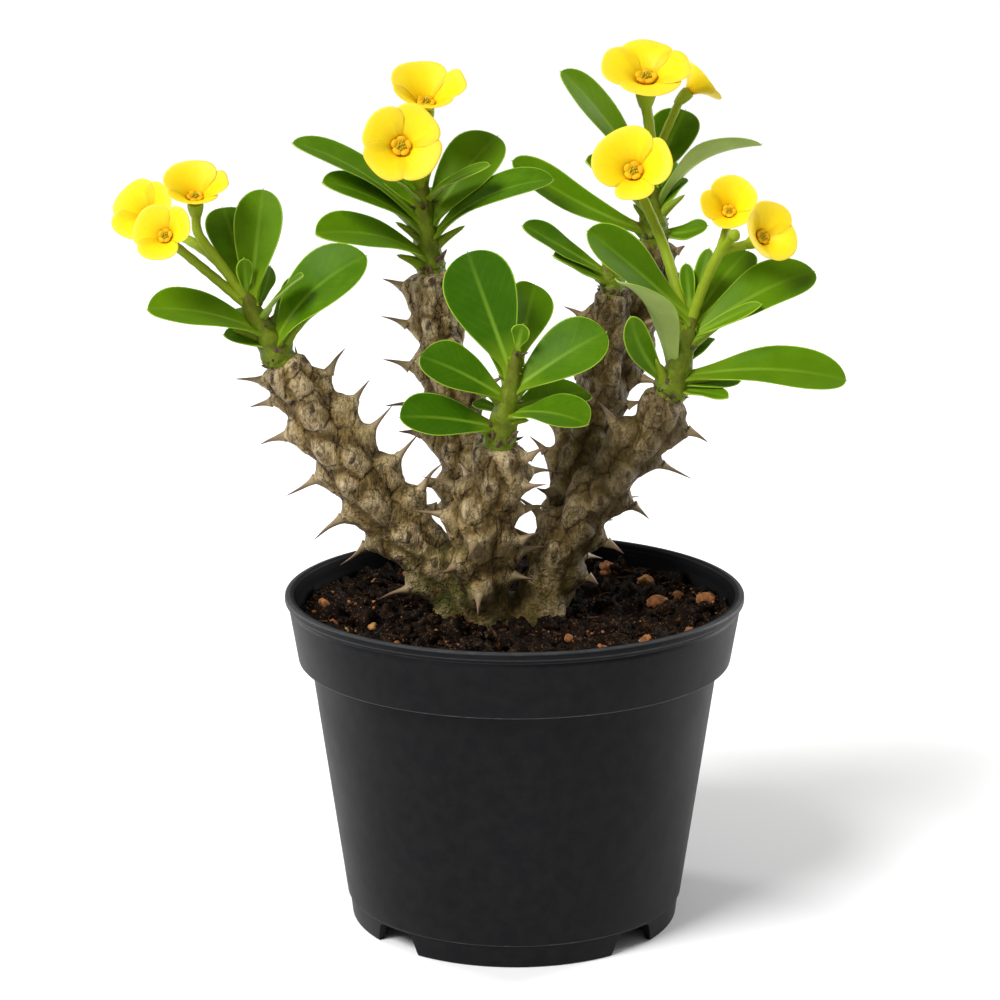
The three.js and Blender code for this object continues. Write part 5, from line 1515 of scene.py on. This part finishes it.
def add_leaf(surface, base, leaf, key):
    """A closed blade from its foot on the stem to its tip."""
    tip = np.array(leaf.tip, float)
    length = np.linalg.norm(tip - base)
    along = unit(tip - base)
    up = np.array(leaf.face, float)
    up = unit(up - along * (up @ along))
    across = np.cross(up, along)
    phase, lean = 6.3 * spread(key), spread(key + 0.3) - 0.5
    v, rows, shares, halves = LEAF_ACROSS, [], [], []
    for u in [*LEAF_SHARES, 1 + 0.45 / length]:
        inside = min(u, 1.0)
        half = leaf_half_width(inside, leaf.wide) if u <= 1 else 0.05
        arch = 4 * inside * (1 - inside)
        thick = min(0.6 + 0.12 * leaf.wide * math.exp(-(u * length / 6.0)**1.5), 1.5 * half)
        sheet = np.sqrt(np.clip(1 - v**2, 0, 1))**0.7 * thick / 2
        midrib = np.exp(-(half * v / 0.75)**2) * (1 - inside)**0.6
        lift = leaf.rise * arch + LEAF_HOLLOW * half * v**2 + 0.05 * half * np.abs(v)
        lift = lift + 0.35 * np.sin(7 * u + phase) * v**2 * arch + 0.5 * lean * v * arch
        lift = lift + 0.18 * np.sin(13 * u + 2 * phase) * np.abs(v)**3 * arch
        lift = lift + LEAF_UPPER * sheet - np.where(LEAF_UPPER > 0, 0.22, 0.45) * midrib
        sway = leaf.bend * arch + 0.4 * lean * arch
        rows.append(base + along * length * u + across * (half * v + sway)[:, None]
                    + up * lift[:, None])
        shares.append(inside)
        halves.append(half)
    columns = len(v)
    tone = 0.2 + 0.8 * spread(key + 0.7) if leaf.tone is None else leaf.tone
    surface.add(np.vstack(rows), tube_faces(len(rows), columns), LEAF, tone=tone,
                along=np.repeat(shares, columns), half=np.repeat(halves, columns),
                across=np.tile(v, len(rows)), upper=np.tile(LEAF_UPPER * 0.5 + 0.5, len(rows)))


print("a leaf 15 mm wide is", round(2 * leaf_half_width(0.7, 15), 1), "mm across at 0.7")

# %% Stems, flower stalks, cups and the bud
LEAF, STEM, SCALE = 0, 1, 2
STALK_RADIUS = 1.5
STEM_SIDES, STALK_SIDES, BUD_SIDES = 20, 12, 16
STEM_SHARES = np.concatenate([np.linspace(0, 0.86, 24), [0.9, 0.94, 0.97, 0.99, 1.0]])


def branch_top(shoot):
    """The end of the shoot's branch and the branch's direction there."""
    course = COURSES[shoot.branch]
    return course.at(1.0), course.axes(1)[0]


def stem_course(shoot):
    """From inside the top of its branch upwards, in the branch's own direction at first."""
    top, along = branch_top(shoot)
    return Course([top + 0.3 * along, top + 1.8 * along, *shoot.stem])


def add_stem(surface, shoot, course, key):
    """The green stem: a little swollen where each leaf leaves it, and rounded at its top."""
    def radius(t, angles):
        core = blended(shoot.radii, t) * (0.97 - 0.26 * t)
        swell = sum(0.08 * min(leaf.wide, 12) / 12
                    * math.exp(-((t - leaf.at) * course.length / 1.4)**2) for leaf in shoot.leaves)
        end = math.sqrt(max(1 - max((t - 0.86) / 0.14, 0)**2, 0.02))
        ribs = 0.07 * np.sin(5 * angles + 9 * t + key) + 0.05 * np.sin(11 * angles - 14 * t)
        return core * (1 + min(swell, 0.2) + ribs) * end

    add_tube(surface, course, STEM_SHARES, STEM_SIDES, radius, STEM, along=0.5, tone=spread(key),
             young=np.repeat(STEM_SHARES, STEM_SIDES))
    top, along = branch_top(shoot)
    root = Course([top - 3 * along, top - 1 * along, top + 1.2 * along])
    add_tube(surface, root, np.linspace(0, 1, 6), STEM_SIDES,
             lambda t, a: shoot.radii[0] * (1.02 - 0.05 * t) * (1 + 0.04 * np.sin(5 * a)),
             STEM, tone=0.2)


def add_leaf_root(surface, course, leaf):
    """The swollen foot of a petiole, which runs down the stem a little way before it leaves it."""
    base = course.at(leaf.at)
    span = np.array(leaf.tip, float) - base
    aim, size = unit(span), min(leaf.wide / 10, 1.15)
    lower = course.at(max(leaf.at - 5.0 / course.length, 0))
    down = unit(lower - course.at(min(leaf.at + 0.1, 1)))
    reach = min(3.5 + 8 * size, 0.3 * np.linalg.norm(span))
    root = Course([lower, base + 1.4 * size * (aim + down),
                   base + 0.5 * reach * aim + 0.4 * size * down, base + reach * aim])

    def radius(t, angles):
        return size * (1.9 - 1.2 * t) * (1 - t)**0.3 * (0.5 + min(t * 2.5, 0.5)) + 0.1

    add_tube(surface, root, np.linspace(0, 1, 13), 14, radius, STEM, along=0.74,
             tone=spread(leaf.wide + leaf.at))


def add_stalk(surface, points, start, end, key):
    course = Course(points)

    def radius(t, angles):
        return (start + (end - start) * t) * (1 + 0.05 * np.sin(5 * t * course.length / 3 + key))

    add_tube(surface, course, np.linspace(0, 1, max(int(course.length / 1.2), 6)), STALK_SIDES,
             radius, STEM, along=0.9, tone=spread(key))


def add_bloom_stalk(surface, bloom, stem, key):
    """A stalk and the green cup below the bracts, which swells towards its mouth."""
    centre, facing, _, _, scale = bloom_axes(bloom)
    foot = centre - facing * CUP_BOTTOM * scale
    radius = STALK_RADIUS * (0.45 + 0.45 * scale)
    add_stalk(surface, [stem.at(bloom.start), *bloom.stalk, foot + 0.8 * facing],
              radius * 1.12, radius * 0.95, key)
    mouth = centre - facing * (THROAT_BOTTOM - 1.7) * scale

    def cup(t, angles):
        body = CUP_RADII[0] + (CUP_RADII[1] - CUP_RADII[0]) * min(t * 1.3, 1)**0.8
        return scale * body * (1 + 0.05 * np.cos(5 * angles)) * (1 + 0.07 * math.sin(3.1 * t))

    add_tube(surface, Course([foot - 0.4 * facing, (foot + mouth) / 2, mouth]),
             np.linspace(0, 1, 12), STEM_SIDES, cup, STEM, along=1.0, tone=spread(key + 1))


def add_bud(surface, bud, stem):
    tip = np.array(bud.tip, float)
    add_stalk(surface, [stem.at(bud.start), *bud.stalk, tip], STALK_RADIUS, STALK_RADIUS * 0.7, 5)
    aim = unit(tip - np.array(bud.stalk[-1], float))

    def radius(t, angles):
        return 0.25 + 1.35 * math.sin(math.pi * min(t * 0.94 + 0.06, 1))**0.7

    add_tube(surface, Course([tip - 1.2 * aim, tip + 0.6 * aim, tip + 2.4 * aim]),
             np.linspace(0, 1, 12), BUD_SIDES, radius, STEM, along=1.0, tone=0.5)


print("the stems are", [round(stem_course(shoot).length, 1) for shoot in SHOOTS.values()],
      "mm long")

# %% Young spines and dry scales at the foot of the leaves
SCALES_IN_RING = 17


def add_point(surface, foot, aim, length, thick, key):
    """A short brown point, such as a young spine or the dry scale beside a leaf's foot."""
    bent = unit(aim + 0.35 * np.array([spread(key) - 0.5, spread(key + 1) - 0.5, 0.3]))
    course = Course([foot, foot + aim * length * 0.5, foot + bent * length])
    add_tube(surface, course, np.linspace(0, 1, 6), 7,
             lambda t, a: thick * (1 - t)**0.8 + 0.05, SCALE, tone=spread(key + 2))


def add_points(surface, shoot, course, key):
    """A pair beside every other leaf, and a ragged ring where the green meets the wood."""
    for number, leaf in enumerate(shoot.leaves[::2]):
        along, side, front = course.axes(leaf.at)
        foot = course.at(leaf.at)
        aim = np.array(leaf.tip, float) - foot
        angle = math.atan2(aim @ side, aim @ front)
        radius = blended(shoot.radii, leaf.at)
        for turn in (-0.55, 0.55):
            out = course.out(leaf.at, angle + turn)
            k = key + number * 5 + turn
            add_point(surface, foot + out * (radius - 0.5) - along * 0.9, unit(out + 0.35 * along),
                      1.2 + 1.4 * spread(k), 0.4 + 0.2 * spread(k + 4), k)
    along, _, _ = course.axes(0.03)
    for number in range(SCALES_IN_RING):
        k = key + 200 + number
        out = course.out(0.03, 2 * math.pi * (number + 0.8 * spread(k)) / SCALES_IN_RING)
        low = spread(k + 3)**2
        foot = course.at(0.2 * low) - 1.2 * (1 - low) * along + out * (shoot.radii[0] * 0.94 - 0.5)
        add_point(surface, foot, unit(out + (0.2 + 1.4 * spread(k + 2)) * along),
                  1.0 + 2.2 * spread(k + 1), 0.5 + 0.5 * spread(k + 6), k)


def leafy_shoot(name, shoot, key):
    surface = Surface()
    course = stem_course(shoot)
    add_stem(surface, shoot, course, key)
    for number, leaf in enumerate(shoot.leaves):
        add_leaf(surface, course.at(leaf.at), leaf, key + 10 * number)
        add_leaf_root(surface, course, leaf)
    for number, bloom in enumerate(BLOOMS.values()):
        if bloom.shoot == name:
            add_bloom_stalk(surface, bloom, course, number)
    if BUD.shoot == name:
        add_bud(surface, BUD, course)
    add_points(surface, shoot, course, key)
    return surface


print("scales in the rings at the foot of the shoots:", SCALES_IN_RING * len(SHOOTS))

# %% [markdown]
# ## The finishes of the living parts
# A leaf is satin, not shiny: deep green above, with a pale midrib, a thin light edge and a
# yellower foot, and dull grey-green below. The bracts are an even lemon yellow that deepens to
# orange in the throat. Thin living tissue lets some light through, so both get a little
# subsurface scattering, and their colours come from the values that the meshes carry.

# %% Leaf, stem and scale
def leaf_green():
    """Deep green with a pale midrib, thin light edge and yellower foot; grey-green below."""
    made, tree = new_material("leaf_green")
    along, across, half, tone, upper = point_values(tree, "along", "across", "half", "tone", "upper")
    clouds = placed(tree, BLOTCHES, 160, 0.1)
    grain = placed(tree, GRAIN, 3800, 0.5)
    from_rib = times(worked("ABSOLUTE", across), half)
    from_edge = minus(half, from_rib)
    veins = worked("SINE", plus(times(along, 70.0), times(from_rib, -2.6)))
    veined = times(ranged(veins, 0.3, 1.0, 0, 0.08), clouds)
    rib = times(ranged(from_rib, 0.75, 0.2), ranged(along, 0.97, 0.2, 0.1, 0.75))
    edge = times(ranged(from_edge, 0.42, 0.16, 0, 0.8), ranged(along, 0.12, 0.35))
    under = times(ranged(upper, 0.55, 0.35), ranged(along, 0.05, 0.3))
    pale = layered(mixed(clouds, (0.28, 0.37, 0.09), (0.36, 0.45, 0.13)), (rib, (0.36, 0.46, 0.14)))
    base = layered(
        mixed(clouds, (0.046, 0.122, 0.0012), (0.074, 0.168, 0.0018)),
        (ranged(tone, 0.3, 1.0, 0, 0.7), (0.115, 0.225, 0.003)),
        (ranged(tone, 0.22, 0.0, 0, 0.9), (0.022, 0.080, 0.0008)),
        (veined, (0.12, 0.26, 0.02)),
        (ranged(along, 0.36, 0.02, 0, 0.75), (0.20, 0.31, 0.01)),
        (rib, (0.20, 0.34, 0.025)),
        (edge, (0.34, 0.48, 0.045)),
        (under, pale))
    gloss = plus(ranged(clouds, 0, 1, 0.36, 0.48), times(under, 0.2))
    height = plus(times(grain, 0.5), times(veined, -2.2))
    return finished(made, base, gloss, height, (0.35, 0.3), 0.06, (0.12, (0.4, 1.0, 0.1)))


def stem_green():
    """Yellow-green stalks and stems with brown flecks, reddish at the top of each stem."""
    made, tree = new_material("stem_green")
    along, young = point_values(tree, "along", "young")
    clouds = placed(tree, BLOTCHES, 330, 0.2)
    rough = placed(tree, BLOTCHES, 700, 0.6, 1.0)
    flecks = placed(tree, SPECKS, 800, 0.2)
    grain = placed(tree, GRAIN, 3000, 0.5)
    browned = times(rough, ranged(along, 0.7, 0.5, 0, 0.3))
    base = layered(
        mixed(clouds, (0.085, 0.125, 0.003), (0.15, 0.225, 0.006)),
        (ranged(along, 0.55, 0.95), (0.25, 0.34, 0.012)),
        (times(ranged(young, 0.55, 0.95, 0, 0.75), clouds), (0.085, 0.045, 0.01)),
        (browned, (0.09, 0.05, 0.012)),
        (times(flecks, ranged(along, 0.9, 0.5, 0.05, 0.6)), (0.07, 0.032, 0.01)))
    return finished(made, base, ranged(grain, 0.3, 0.7, 0.55, 0.42), minus(grain, browned),
                    (0.5, 0.3), 0.15, (0.1, (0.5, 1.0, 0.15)))


def dry_scale():
    made, tree = new_material("dry_scale")
    tone, = point_values(tree, "tone")
    grain = placed(tree, GRAIN, 4500, 0.4)
    base = layered(mixed(tone, (0.035, 0.018, 0.006), (0.11, 0.066, 0.022)),
                   (ranged(grain, 0.45, 0.65, 0, 0.4), (0.17, 0.115, 0.045)))
    return finished(made, base, ranged(grain, 0.3, 0.7, 0.75, 0.55), grain, (0.4, 0.2))


leaf_finishes = [leaf_green(), stem_green(), dry_scale()]
for order, (name, shoot) in enumerate(SHOOTS.items()):
    make_piece(name + "_fine", leafy_shoot(name, shoot, 100 * order + 7), leaf_finishes,
               [name])

# %% Bract, gland and anther
def bract_yellow():
    """Lemon yellow that deepens to orange in the throat, with faint lines from there outwards."""
    made, tree = new_material("bract_yellow")
    radial, sideways, tone = point_values(tree, "radial", "sideways", "tone")
    clouds = placed(tree, BLOTCHES, 210, 0.0)
    grain = placed(tree, GRAIN, 3600, 0.5)
    lines = times(ranged(worked("SINE", times(sideways, 26.0)), 0.5, 1.0),
                  ranged(radial, 1.0, 0.2, 0, 0.2))
    base = layered(
        mixed(clouds, (0.92, 0.63, 0.004), (0.94, 0.67, 0.008)),
        (ranged(tone, 0.3, 1.0, 0, 0.4), (0.94, 0.69, 0.02)),
        (ranged(radial, 0.7, 1.0, 0, 0.6), (0.91, 0.62, 0.065)),
        (lines, (0.78, 0.50, 0.003)),
        (ranged(radial, 0.5, 0.05, 0, 0.85), (0.90, 0.54, 0.003)))
    height = plus(times(grain, 0.5), times(lines, -1.0))
    return finished(made, base, ranged(clouds, 0, 1, 0.45, 0.55), height, (0.2, 0.25), 0.18,
                    (0.2, (1.0, 0.8, 0.1)))


def plump(name, first, second, third, roughness):
    """A fleshy finish for the small bodies in the throat."""
    made, tree = new_material(name)
    tone, = point_values(tree, "tone")
    clouds = placed(tree, BLOTCHES, 900, 0.1)
    grain = placed(tree, GRAIN, 7000, 0.4)
    base = layered(mixed(clouds, first, second), (ranged(tone, 0.4, 1.0, 0, 0.5), third))
    return finished(made, base, ranged(grain, 0.3, 0.7, roughness + 0.1, roughness), grain,
                    (0.25, 0.1), 0.2)


bract_finish = bract_yellow()
gland_finishes = [
    plump("gland_orange", (0.70, 0.33, 0.002), (0.82, 0.46, 0.004), (0.86, 0.54, 0.006), 0.5),
    plump("anther_green", (0.42, 0.36, 0.01), (0.55, 0.46, 0.015), (0.28, 0.22, 0.01), 0.55)]
for order, (name, bloom) in enumerate(BLOOMS.items()):
    make_piece("bracts_" + name, bloom_bowl(bloom, 40 * order), [bract_finish],
               ["bloom_" + name])
    make_piece("throat_" + name, bloom_throat(bloom, 60 * order), gland_finishes,
               ["glands_" + name])
